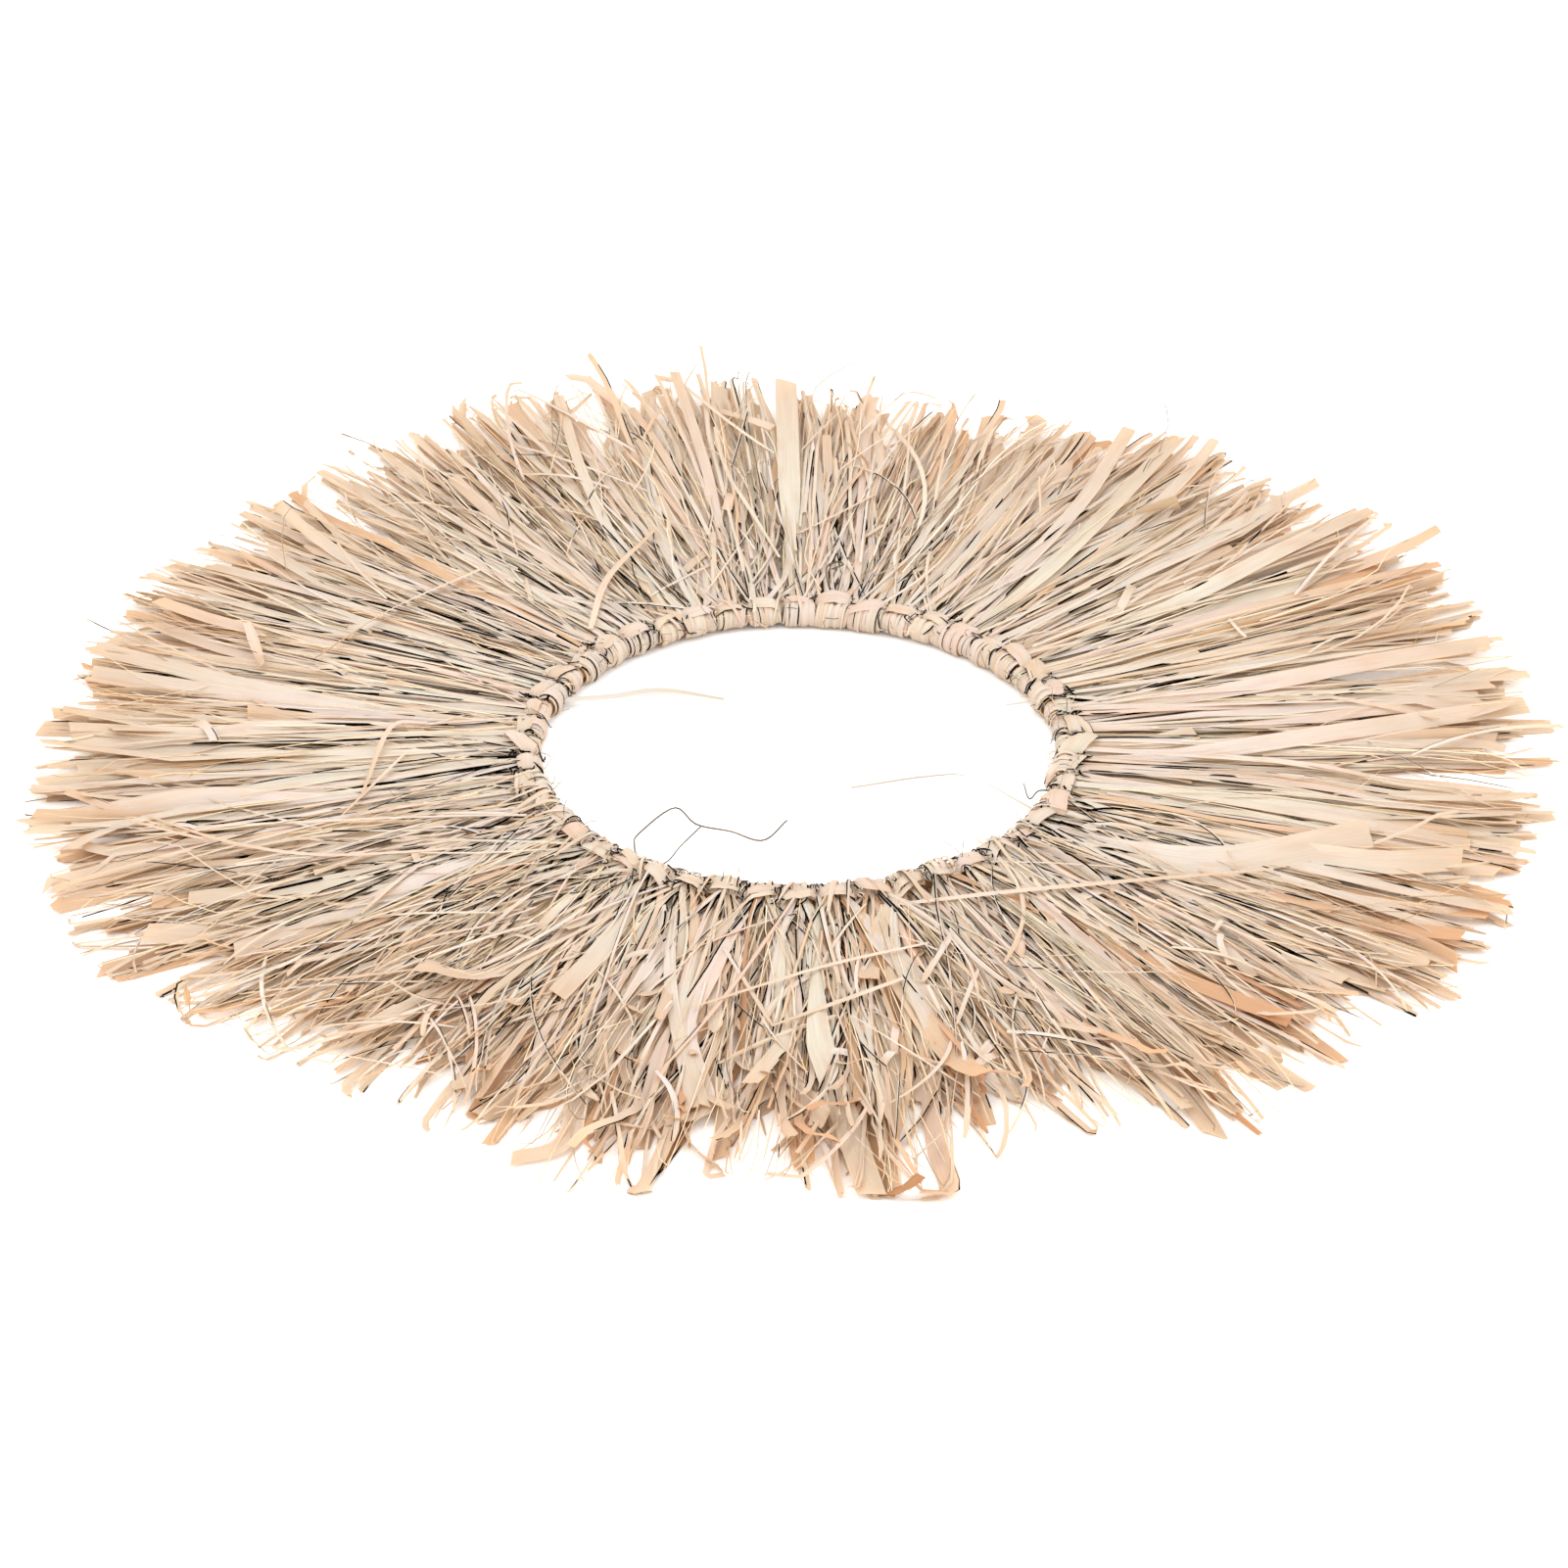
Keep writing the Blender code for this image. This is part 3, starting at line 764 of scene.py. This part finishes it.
def add_broad_blades(strips, rng, direction):
    """The blades that stand out in the photograph, each in its place."""
    stations = 16
    for width, slant, forwards, places in starting_here(BROAD_BLADES, direction):
        paths = placed_curve(places, direction, stations)
        full = np.array((width * MM,))
        widths = opening_widths(full, stations, np.array((BLADE_NECK,)), np.array((0.5,)))
        creases = fold_heights(rng, full, widths, (0.02, 0.04), 1.1 * MM)
        pleats = PLEATS[rng.integers(0, 2)]
        sides = fringe_sides(rng, paths, 0.08, 0.12, 0.0, math.radians(forwards) * math.cos(direction))
        tones = np.array(((rng.uniform(*BLADE_TONES), 0.1),))
        strips.add(PLEATED, paths, sides, widths, creases, tones, STRIP, pleats, slants=np.array((slant,)))


def add_strays(strips, rng, direction):
    """Stray strips and wiry fibres in the open middle and across the fringe."""
    stations = 20
    swelling = 0.55 + 0.45 * np.sin(math.pi * np.clip(np.linspace(0.12, 1.02, stations), 0, 1))
    for kind, strays in ((BLEACHED, MIDDLE_STRAYS), (STRIP, FRINGE_STRAYS)):
        for width, tone, places in starting_here(strays, direction):
            paths = placed_curve(places, direction, stations)
            widths = width * MM * swelling[None, :]
            creases = widths * rng.uniform(0.05, 0.12)
            sides = fringe_sides(rng, paths, 0.2, 0.5, 0.0)
            strips.add(PLEATED, paths, sides, widths, creases, np.array(((tone, 0.0),)), kind, ARCHED)
    for width, places in starting_here(WIRES, direction):
        paths = placed_curve(places, direction, stations * 2)
        widths = np.full((1, stations * 2), width * MM)
        sides = fringe_sides(rng, paths, 0.2, 0.5, 0.0)
        strips.add(ROUND, paths, sides, widths, widths * 0, np.array((WIRE_TONE,)), FIBRE)


def add_ribbons(strips, rng, paths, side, widths, arch):
    """Ribbons of a hitch: arched across, several strips thick, and all given the same amount of painted
    shade line.
    """
    count = len(paths)
    creases = -widths * rng.uniform(*arch, count)[:, None]
    sides = np.broadcast_to(np.array(side), paths.shape)
    # Painted shade: fine dark lines along the ribbons' sides stand for the shadowed slits between them
    tones = strip_tones(rng, count, 0.0, rng.uniform(0.0, 1.2))
    tones[:, 0] = between(HITCH_TONES, tones[:, 0])
    strips.add(PLEATED, paths, sides, widths, creases, tones, STRIP, ARCHED, RIBBON_PLY,
               torn_width=FINE_SHADE_LINE)


def add_wraps(strips, rng, look):
    """The hitch's wraps: folded strips side by side from the loop, round the cane."""
    count = rng.choice((6, 7, 8, 9, 11))
    turn = np.radians(np.linspace(*WRAP_TURNS, 12))
    middle = HOOP_RADIUS * math.tan(HALF_PITCH) - WRAP_SLIT / 2
    spans = rng.uniform(0.4, 1.6, count)
    spans *= 2 * middle / spans.sum()
    places = np.cumsum(spans) - spans / 2 - middle
    depth = (HITCH_RADIUS - WRAP_SINK + rng.normal(0.0, 0.5) * MM + rng.normal(0, 0.35 * MM, count)
             - WRAP_HOLLOW * (places / middle) ** 2)
    slant = (rng.normal(0, 1.0 + 1.4 * look.untidy) + rng.normal(0, 0.7, count)) * MM
    fuller = FULL_HITCH * look.untidy * rng.uniform(0.4, 1.0, count)
    upper = np.clip(np.sin(turn), 0, 1)
    x = HOOP_RADIUS + depth[:, None] * np.cos(turn) - 0.5 * fuller[:, None] * upper
    z = HOOP_HEIGHT + depth[:, None] * np.sin(turn) + fuller[:, None] * upper
    y = places[:, None] + slant[:, None] * np.linspace(0.5, -0.5, len(turn)) + 0 * x
    y *= x / HOOP_RADIUS
    beyond = np.full(count, HOOP_RADIUS + BAR_OUT + WRAP_PAST_BAR)
    under_loop = np.stack((beyond, y[:, 0] * 0.85, np.full(count, WRAP_ENDS[1])), axis=-1)
    under_neck = np.stack((beyond, y[:, -1], np.full(count, WRAP_ENDS[0])), axis=-1)
    paths = np.concatenate((under_loop[:, None], np.stack((x, y, z), axis=-1), under_neck[:, None]), axis=1)
    widths = at_every(spans * rng.uniform(1.05, 1.3, count), paths.shape[1])
    add_ribbons(strips, rng, paths, (0.0, 1.0, 0.0), widths, (0.04, 0.13))


def add_crossing(strips, rng, look):
    """The loop that crosses over the wraps, and dives between this hitch and the next."""
    untidy = look.untidy
    count = rng.choice((1, 2, 3) if untidy > 0.6 else (1, 1, 2))
    reach = HOOP_RADIUS + BAR_OUT + rng.normal(0, 1.0) * MM
    half = reach * math.tan(HALF_PITCH) * rng.uniform(0.9, 1.2)
    side = np.array((-1.0, -0.97, -0.88, -0.7, -0.4, 0.0, 0.4, 0.7, 0.88, 0.97, 1.0))
    rise = np.array((0.1, 0.4, 0.7, 0.88, 0.97, 1.0, 0.97, 0.88, 0.7, 0.4, 0.1))
    stations = len(side)
    shares = rng.dirichlet(np.full(count, 2.5))
    full = BAR_WIDTH * rng.uniform(0.7, 1.25) * shares
    edges = np.cumsum(full) - full / 2 - full.sum() / 2
    tilt = rng.normal(0, 0.18 + 0.22 * untidy) + rng.normal(0, 0.12 + 0.10 * untidy, count)
    top = HOOP_HEIGHT + HITCH_RADIUS + BAR_RISE + FULL_HITCH * untidy * rng.uniform(0.2, 0.9)
    height = top - np.abs(edges) * 0.22 + rng.normal(0, 0.3 * MM, count)
    y = np.repeat((side * half)[None, :], count, axis=0)
    x = reach + edges[:, None] + y * tilt[:, None] - 0.8 * MM * (1 - rise)
    z = BAR_FOOT + (height[:, None] - BAR_FOOT) * rise
    paths = np.stack((x, y, z), axis=-1)
    paths[:, 1:-1] += rng.normal(0, 0.2 * MM, (count, stations - 2, 3))
    pinch = 0.55 + 0.45 * np.sin(np.linspace(0, math.pi, stations))
    add_ribbons(strips, rng, paths, (1.0, 0.0, 0.0), full[:, None] * pinch * 1.15, (0.10, 0.17))


def add_shade_shreds(strips, rng, look):
    """Short crumpled shreds painted dark along their sides, as painted shade in the hitch's slits and
    beside its loop.
    """
    count = rng.poisson(6 + 5 * look.untidy)
    if not count:
        return
    t = np.linspace(-0.5, 0.5, 7)
    half = HOOP_RADIUS * math.tan(HALF_PITCH)
    in_slit = rng.choice((-1, 1), count) * half + rng.normal(0, 0.9 * MM, count)
    across = np.where(rng.random(count) < 0.6, in_slit, rng.uniform(-half, half, count))
    out = rng.uniform(-4.5, 9.5, count) * MM
    heading = rng.normal(0, 0.7, count)
    length = rng.uniform(3, 7, count) * MM
    bow = rng.normal(0, 1.1 * MM, count)
    paths = bowed_paths(HOOP_RADIUS + out, across, length, bow, heading, t)
    outwards = paths[..., 0] - HOOP_RADIUS
    bulge = np.sqrt(HITCH_RADIUS ** 2 - np.clip(-outwards, 0, HITCH_RADIUS) ** 2)
    paths[..., 2] = HOOP_HEIGHT + bulge + rng.uniform(-0.6, 0.5, count)[:, None] * MM
    paths[..., 2] += FULL_HITCH * look.untidy * 0.5 - 0.08 * np.clip(outwards, 0, None)
    widths = rng.uniform(*SHADE_SHRED_WIDTHS, count)[:, None] * (0.5 + 0.5 * np.cos(math.pi * t)[None, :])
    sides = fringe_sides(rng, paths, 0.3, 0.4)
    # Painted shade: these shreds carry the most dark side lining, for the shadows of the slits
    strips.add(FOLDED, paths, sides, widths, widths * 0.15, strip_tones(rng, count, -0.1, 1.4), STRIP)


def add_hitch_strands(strips, rng, look):
    """Loose strands that lie aslant over the hitch, from its inner side to the tails."""
    count = rng.poisson(0.2 + 1.3 * look.untidy)
    if not count:
        return
    stations = 10
    top = HOOP_HEIGHT + HITCH_RADIUS + BAR_RISE + FULL_HITCH * look.untidy
    start = rng.uniform(-7, 7, count) * MM
    drift = rng.choice((-1, 1), count) * rng.uniform(2, 9, count) * MM
    out = rng.uniform(9, 22, count) * MM
    paths = np.stack([curve_through((
        (HOOP_RADIUS - HITCH_RADIUS + 0.6 * MM, start[i], 6.0 * MM),
        (HOOP_RADIUS - 2.5 * MM, start[i] + 0.2 * drift[i], top - 1.2 * MM),
        (HOOP_RADIUS + BAR_OUT, start[i] + 0.5 * drift[i], top + 0.5 * MM),
        (HOOP_RADIUS + out[i], start[i] + drift[i], NECK_HEIGHTS[1]),
    ), stations) for i in range(count)])
    full = rng.uniform(*HITCH_STRAND_WIDTHS, count)
    widths = full[:, None] * (0.6 + 0.4 * np.sin(np.linspace(0, math.pi, stations)))
    creases = widths * rng.uniform(0.05, 0.15, count)[:, None]
    sides = fringe_sides(rng, paths, 0.2, 0.4, 0.0)
    strips.add(PLEATED, paths, sides, widths, creases, strip_tones(rng, count, -0.1), STRIP, ARCHED)


def add_whiskers(strips, rng):
    """Fine broken fibres that stand off the hitch."""
    count = rng.poisson(3.0)
    if not count:
        return
    stations = 7
    turn = rng.uniform(0.5, 3.2, count)
    start = np.stack((
        HOOP_RADIUS + HITCH_RADIUS * np.cos(turn),
        rng.uniform(-6, 6, count) * MM,
        HOOP_HEIGHT + HITCH_RADIUS * np.sin(turn)), axis=-1)
    heading = np.stack((np.cos(turn) * 0.8, rng.normal(0, 0.9, count), np.sin(turn) * 0.35), axis=-1)
    length = rng.uniform(3, 9, count) * MM
    t = np.linspace(0, 1, stations)[None, :, None]
    droop = rng.normal(0, 2.0 * MM, (count, 1, 3)) * t ** 2
    paths = start[:, None, :] + unit(heading)[:, None, :] * length[:, None, None] * t + droop
    widths = np.full((count, stations), WHISKER_WIDTH)
    sides = fringe_sides(rng, paths, 0.3, 0.3)
    strips.add(ROUND, paths, sides, widths, widths * 0, strip_tones(rng, count, 0.3), FIBRE)


def linear(hex_color):
    """An sRGB hex colour as linear red, green, blue and alpha."""
    channels = [int(hex_color[i:i + 2], 16) / 255 for i in (1, 3, 5)]
    values = [c / 12.92 if c <= 0.04045 else ((c + 0.055) / 1.055) ** 2.4 for c in channels]
    return (*values, 1.0)


def add_node(tree, kind, settings=None, inputs=None):
    """Adds a shader node, sets its properties, and sets or links its inputs."""
    node = tree.nodes.new("ShaderNode" + kind)
    for name, value in (settings or {}).items():
        setattr(node, name, value)
    for name, value in (inputs or {}).items():
        if isinstance(value, bpy.types.NodeSocket):
            tree.links.new(value, node.inputs[name])
        else:
            node.inputs[name].default_value = value
    return node


def empty_material(name):
    """A material with nothing but its output node, and that node."""
    material = bpy.data.materials.new(name)
    material.use_nodes = True
    material.node_tree.nodes.clear()
    output = add_node(material.node_tree, "OutputMaterial")
    return material, material.node_tree, output


def set_stops(ramp, stops):
    """Gives a colour ramp its stops, as (place, hex colour) pairs."""
    elements = ramp.color_ramp.elements
    while len(elements) < len(stops):
        elements.new(1.0)
    for element, (place, hex_color) in zip(elements, stops):
        element.position = place
        element.color = linear(hex_color)


# Sockets of a Mix node that mixes colours, which have the same names as its other sockets
FIRST_COLOR = 6
SECOND_COLOR = 7
MIXED_COLOR = 2

# Split leaf of the raffia palm, dried and undyed: cream to peach and straw, streaked
# along its veins, with a faint waxy sheen. Thin enough that light glows through it. The
# fibres are drier, thicker for their width and darker, and the strays are bleached grey.
LEAF_COLORS = (
    (0.00, "#F1EDE9"),
    (0.30, "#F0EBE3"),
    (0.52, "#F0E6DB"),
    (0.68, "#F0E1CF"),
    (0.82, "#EFD8BB"),
    (0.93, "#E6C3A0"),
    (1.00, "#CEA680"),
)
FIBRE_COLORS = (
    (0.00, "#F6E8D2"),
    (0.55, "#DCC09A"),
    (1.00, "#2B2521"),
)
BLEACHED_COLORS = (
    (0.00, "#CFC9BF"),
    (1.00, "#B3ABA0"),
)
PINKISH = "#FFFBFD"
YELLOWISH = "#FDFDF7"
OUTER_SHADE = "#F6EBDB"                 # what the outer ends of the strips are multiplied by: painted shade, darker outwards to even them with the shaded neck
VEIN_SPACING = 0.6 * MM          # drawn some three times as coarse as real, to show
STREAK_LENGTH = 35 * MM
VEIN_SHADES = (0.92, 1.03)       # what the veins multiply the colour by
VEIN_DEPTH = 0.15 * MM
BLOTCH_LENGTH = 20 * MM
BLOTCH_WIDTH = 5 * MM
STAIN = "#E0BD92"                # of the blotches, at most this share of it
MOST_STAIN = 0.3
SHADE_LINE_LENGTH = 28 * MM            # of the painted shade stretches along a strip's sides
SHADE_LINES_APART = 2.5 * MM
# near black of the painted shade lines that stand for the shadows in the gaps between strips
SHADE_LINE_COLOR = "#0E0B09"
WARM_GLOW = (1.0, 0.92, 0.78)    # what light takes on in passing through a strip
HUE_CHANGES = 60.0               # how often the hue changes over the range of colours

# Peeled cane and painted floor
PORE_SIZE = 1.11 * MM
CLOUD_WIDTH = 333 * MM


def corner_values(tree, layer):
    """The two numbers that the corners of the strips carry in a UV layer."""
    uv = add_node(tree, "UVMap", {"uv_map": layer})
    parts = add_node(tree, "SeparateXYZ", None, {"Vector": uv.outputs["UV"]})
    return parts.outputs["X"], parts.outputs["Y"]


def streaks(tree, length, width, detail, roughness=0.5):
    """A pattern of streaks with a length along the strips and a width across them."""
    grain = add_node(tree, "UVMap", {"uv_map": "grain"})
    place = add_node(tree, "Mapping", None, {
        "Vector": grain.outputs["UV"], "Scale": (1 / length, 1 / width, 1.0)})
    noise = add_node(tree, "TexNoise", {"noise_dimensions": "2D"}, {
        "Vector": place.outputs["Vector"], "Scale": 1.0, "Detail": detail, "Roughness": roughness})
    return noise.outputs["Fac"]


def strip_color(tree, stops, tone, along, veins):
    """A strip's colour: veined, tinted by chance, darkened outwards by painted shade, and stained."""
    ramp = add_node(tree, "ValToRGB", None, {"Fac": tone})
    set_stops(ramp, stops)
    vein_shade = add_node(tree, "MapRange", None, {
        "Value": veins, "From Min": 0.3, "From Max": 0.7,
        "To Min": VEIN_SHADES[0], "To Max": VEIN_SHADES[1]})
    shaded = add_node(tree, "VectorMath", {"operation": "SCALE"}, {
        0: ramp.outputs["Color"], "Scale": vein_shade.outputs["Result"]})
    chance = add_node(tree, "TexNoise", {"noise_dimensions": "1D"}, {
        "W": tone, "Scale": HUE_CHANGES, "Detail": 0.0})
    hue_share = add_node(tree, "MapRange", None, {
        "Value": chance.outputs["Fac"], "From Min": 0.35, "From Max": 0.65})
    hue = add_node(tree, "Mix", {"data_type": "RGBA"}, {
        "Factor": hue_share.outputs["Result"], FIRST_COLOR: linear(PINKISH),
        SECOND_COLOR: linear(YELLOWISH)})
    outer_share = add_node(tree, "MapRange", None, {"Value": along, "From Min": 0.4})
    outer_shaded = add_node(tree, "Mix", {"data_type": "RGBA"}, {
        "Factor": outer_share.outputs["Result"], FIRST_COLOR: hue.outputs[MIXED_COLOR],
        SECOND_COLOR: linear(OUTER_SHADE)})
    tinted = add_node(tree, "VectorMath", {"operation": "MULTIPLY"}, {
        0: shaded.outputs["Vector"], 1: outer_shaded.outputs[MIXED_COLOR]})
    blotches = streaks(tree, BLOTCH_LENGTH, BLOTCH_WIDTH, 2.0)
    stain_share = add_node(tree, "MapRange", None, {
        "Value": blotches, "From Min": 0.52, "From Max": 0.8, "To Max": MOST_STAIN})
    stained = add_node(tree, "Mix", {"data_type": "RGBA"}, {
        "Factor": stain_share.outputs["Result"], FIRST_COLOR: tinted.outputs["Vector"],
        SECOND_COLOR: linear(STAIN)})
    return stained.outputs[MIXED_COLOR]


def dark_share(tree, across, along, line_shade_amount):
    """Where a strip's side carries painted shade: in stretches, more of them on heavily lined strips and
    near the hitch.
    """
    at_side = add_node(tree, "MapRange", None, {
        "Value": across, "From Min": 0.88, "To Min": 1.0, "To Max": 0.0})
    by_length = add_node(tree, "MapRange", None, {
        "Value": along, "From Min": 0.5, "To Min": 0.02, "To Max": -0.20})
    by_strip = add_node(tree, "MapRange", None, {
        "Value": line_shade_amount, "From Max": MOST_SHADE_LINED, "To Min": -0.3, "To Max": 0.22})
    here = add_node(tree, "Math", {"operation": "ADD"}, {
        0: streaks(tree, SHADE_LINE_LENGTH, SHADE_LINES_APART, 1.0), 1: by_length.outputs["Result"]})
    likely = add_node(tree, "Math", {"operation": "ADD"}, {
        0: here.outputs["Value"], 1: by_strip.outputs["Result"]})
    torn = add_node(tree, "MapRange", None, {
        "Value": likely.outputs["Value"], "From Min": 0.505, "From Max": 0.52})
    share = add_node(tree, "Math", {"operation": "MULTIPLY"}, {
        0: at_side.outputs["Result"], 1: torn.outputs["Result"]})
    return share.outputs["Value"]


def leaf_material(name, stops, roughness, glow):
    """Raffia strip: a colour for each strip, with streaks along it and stretches of painted shade along its
    sides.
    """
    material, tree, output = empty_material(name)
    tone, line_shade_amount = corner_values(tree, "tone")
    across, along = corner_values(tree, "edge")
    veins = streaks(tree, STREAK_LENGTH, VEIN_SPACING, 3.0, 0.6)
    dark = dark_share(tree, across, along, line_shade_amount)
    # painted shade: the dark side lines laid over the strip's colour
    lined = add_node(tree, "Mix", {"data_type": "RGBA"}, {
        "Factor": dark, FIRST_COLOR: strip_color(tree, stops, tone, along, veins),
        SECOND_COLOR: linear(SHADE_LINE_COLOR)})
    color = lined.outputs[MIXED_COLOR]
    gloss = add_node(tree, "MapRange", None, {
        "Value": veins, "To Min": roughness - 0.1, "To Max": roughness + 0.12})
    shine = add_node(tree, "MapRange", None, {"Value": dark, "To Min": 0.5, "To Max": 0.0})
    bump = add_node(tree, "Bump", None, {"Height": veins, "Strength": 0.3, "Distance": VEIN_DEPTH})
    surface = add_node(tree, "BsdfPrincipled", None, {
        "Base Color": color, "Roughness": gloss.outputs["Result"],
        "Specular IOR Level": shine.outputs["Result"], "Normal": bump.outputs["Normal"], "IOR": 1.45})
    warmed = add_node(tree, "VectorMath", {"operation": "MULTIPLY"}, {0: color, 1: WARM_GLOW})
    through = add_node(tree, "BsdfTranslucent", None, {
        "Color": warmed.outputs["Vector"], "Normal": bump.outputs["Normal"]})
    both = add_node(tree, "MixShader", None, {
        "Fac": glow, 1: surface.outputs["BSDF"], 2: through.outputs["BSDF"]})
    tree.links.new(both.outputs["Shader"], output.inputs["Surface"])
    return material


def cane_material():
    """Peeled rattan cane: light brown, with long pores along it and a satin skin."""
    material, tree, output = empty_material("peeled_rattan_cane")
    place = add_node(tree, "TexCoord")
    pores = add_node(tree, "TexNoise", None, {
        "Vector": place.outputs["Object"], "Scale": 1 / PORE_SIZE, "Detail": 4.0})
    ramp = add_node(tree, "ValToRGB", None, {"Fac": pores.outputs["Fac"]})
    set_stops(ramp, ((0.3, "#9C7347"), (0.7, "#C79B68")))
    bump = add_node(tree, "Bump", None, {
        "Height": pores.outputs["Fac"], "Strength": 0.3, "Distance": 0.2 * MM})
    surface = add_node(tree, "BsdfPrincipled", None, {
        "Base Color": ramp.outputs["Color"], "Roughness": 0.5, "Normal": bump.outputs["Normal"]})
    tree.links.new(surface.outputs["BSDF"], output.inputs["Surface"])
    return material


def floor_material():
    """Matt painted floor, almost white, with a very faint unevenness."""
    material, tree, output = empty_material("matt_white_paint")
    place = add_node(tree, "TexCoord")
    cloud = add_node(tree, "TexNoise", None, {
        "Vector": place.outputs["Object"], "Scale": 1 / CLOUD_WIDTH})
    ramp = add_node(tree, "ValToRGB", None, {"Fac": cloud.outputs["Fac"]})
    set_stops(ramp, ((0.3, "#F6F5F4"), (0.7, "#F9F8F7")))
    surface = add_node(tree, "BsdfPrincipled", None, {
        "Base Color": ramp.outputs["Color"], "Roughness": 0.9})
    tree.links.new(surface.outputs["BSDF"], output.inputs["Surface"])
    return material


def make_bundle(k, name, materials):
    """One bundle's strips as one piece in place of its solid."""
    rng = np.random.default_rng(RANDOM_SEED * 1000 + k)
    direction = 2 * k * HALF_PITCH
    look = look_towards(direction)
    strips = Strips(look.edge * MM)
    for add_part in (add_wraps, add_crossing, add_shade_shreds, add_hitch_strands):
        add_part(strips, rng, look)
    add_whiskers(strips, rng)
    for add_part in (add_layers, add_strands, add_fibres, add_bits, add_crossers):
        add_part(strips, rng, direction, look)
    for add_part in (add_broad_blades, add_strays):
        add_part(strips, rng, direction)
    piece_name = name.replace("raffia_bundle", "raffia_strips")
    mesh = strips.mesh(piece_name, direction)
    last_kind = max(int(kinds.max()) for kinds in strips.kinds)
    for material in materials[:last_kind + 1]:
        mesh.materials.append(material)
    piece = bpy.data.objects.new(piece_name, mesh)
    bpy.context.scene.collection.objects.link(piece)
    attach(piece, "root")
    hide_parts(name)


def make_camera():
    """The camera where the photograph's stood, a long way off with a long lens."""
    offset_x = (PHOTO_SIDE / 2 - HOOP_CENTRE_PIXEL[0]) / PIXELS_PER_METRE
    offset_y = (HOOP_CENTRE_PIXEL[1] - PHOTO_SIDE / 2) / PIXELS_PER_METRE / math.sin(CAMERA_ELEVATION)
    aim = Vector((offset_x, offset_y, 0.0))
    away = Vector((0.0, -math.cos(CAMERA_ELEVATION), math.sin(CAMERA_ELEVATION)))
    data = bpy.data.cameras.new("camera")
    data.sensor_width = SENSOR
    data.lens = PIXELS_PER_METRE * CAMERA_DISTANCE / PHOTO_SIDE * SENSOR
    camera = bpy.data.objects.new("camera", data)
    camera.location = aim + away * CAMERA_DISTANCE
    camera.rotation_euler = (-away).to_track_quat("-Z", "Y").to_euler()
    bpy.context.scene.collection.objects.link(camera)
    bpy.context.scene.camera = camera


def make_lights():
    """A large soft light from the upper left, a weaker one from the right, and a pale sky."""
    for name, place, size, power in (
        ("key_light", (-1.1, -0.9, 2.2), 1.4, 18.0),
        ("fill_light", (1.8, -1.0, 1.6), 1.8, 12.0),
    ):
        data = bpy.data.lights.new(name, "AREA")
        data.size = size
        data.energy = power
        light = bpy.data.objects.new(name, data)
        light.location = place
        light.rotation_euler = (-Vector(place)).to_track_quat("-Z", "Y").to_euler()
        bpy.context.scene.collection.objects.link(light)
    world = bpy.data.worlds.new("pale_sky")
    world.use_nodes = True
    background = world.node_tree.nodes["Background"]
    background.inputs["Color"].default_value = linear("#FFFFFF")
    background.inputs["Strength"].default_value = SKY_STRENGTH
    bpy.context.scene.world = world


def make_floor():
    """A plain pale floor that the hanging lies on."""
    mesh = bpy.data.meshes.new("floor")
    corners = [(x * FLOOR_HALF, y * FLOOR_HALF, 0.0) for x, y in ((-1, -1), (1, -1), (1, 1), (-1, 1))]
    mesh.from_pydata(corners, [], [(0, 1, 2, 3)])
    mesh.materials.append(floor_material())
    floor = bpy.data.objects.new("floor", mesh)
    floor.location.z = FLOOR_HEIGHT - FLOOR_SINK
    bpy.context.scene.collection.objects.link(floor)


make_camera()
make_lights()
make_floor()
cane = cane_material()
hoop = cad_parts["hoop"]
hoop.data.materials.clear()
hoop.data.materials.append(cane)
leaf = leaf_material("dried_raffia_leaf", LEAF_COLORS, 0.55, 0.55)
fibre = leaf_material("split_raffia_fibre", FIBRE_COLORS, 0.5, 0.1)
bleached = leaf_material("bleached_raffia_strand", BLEACHED_COLORS, 0.6, 0.1)
for k, name in enumerate(BUNDLES):
    make_bundle(k, name, (leaf, fibre, bleached))
bpy.context.scene.view_settings.view_transform = "Standard"

bpy.context.view_layer.update()
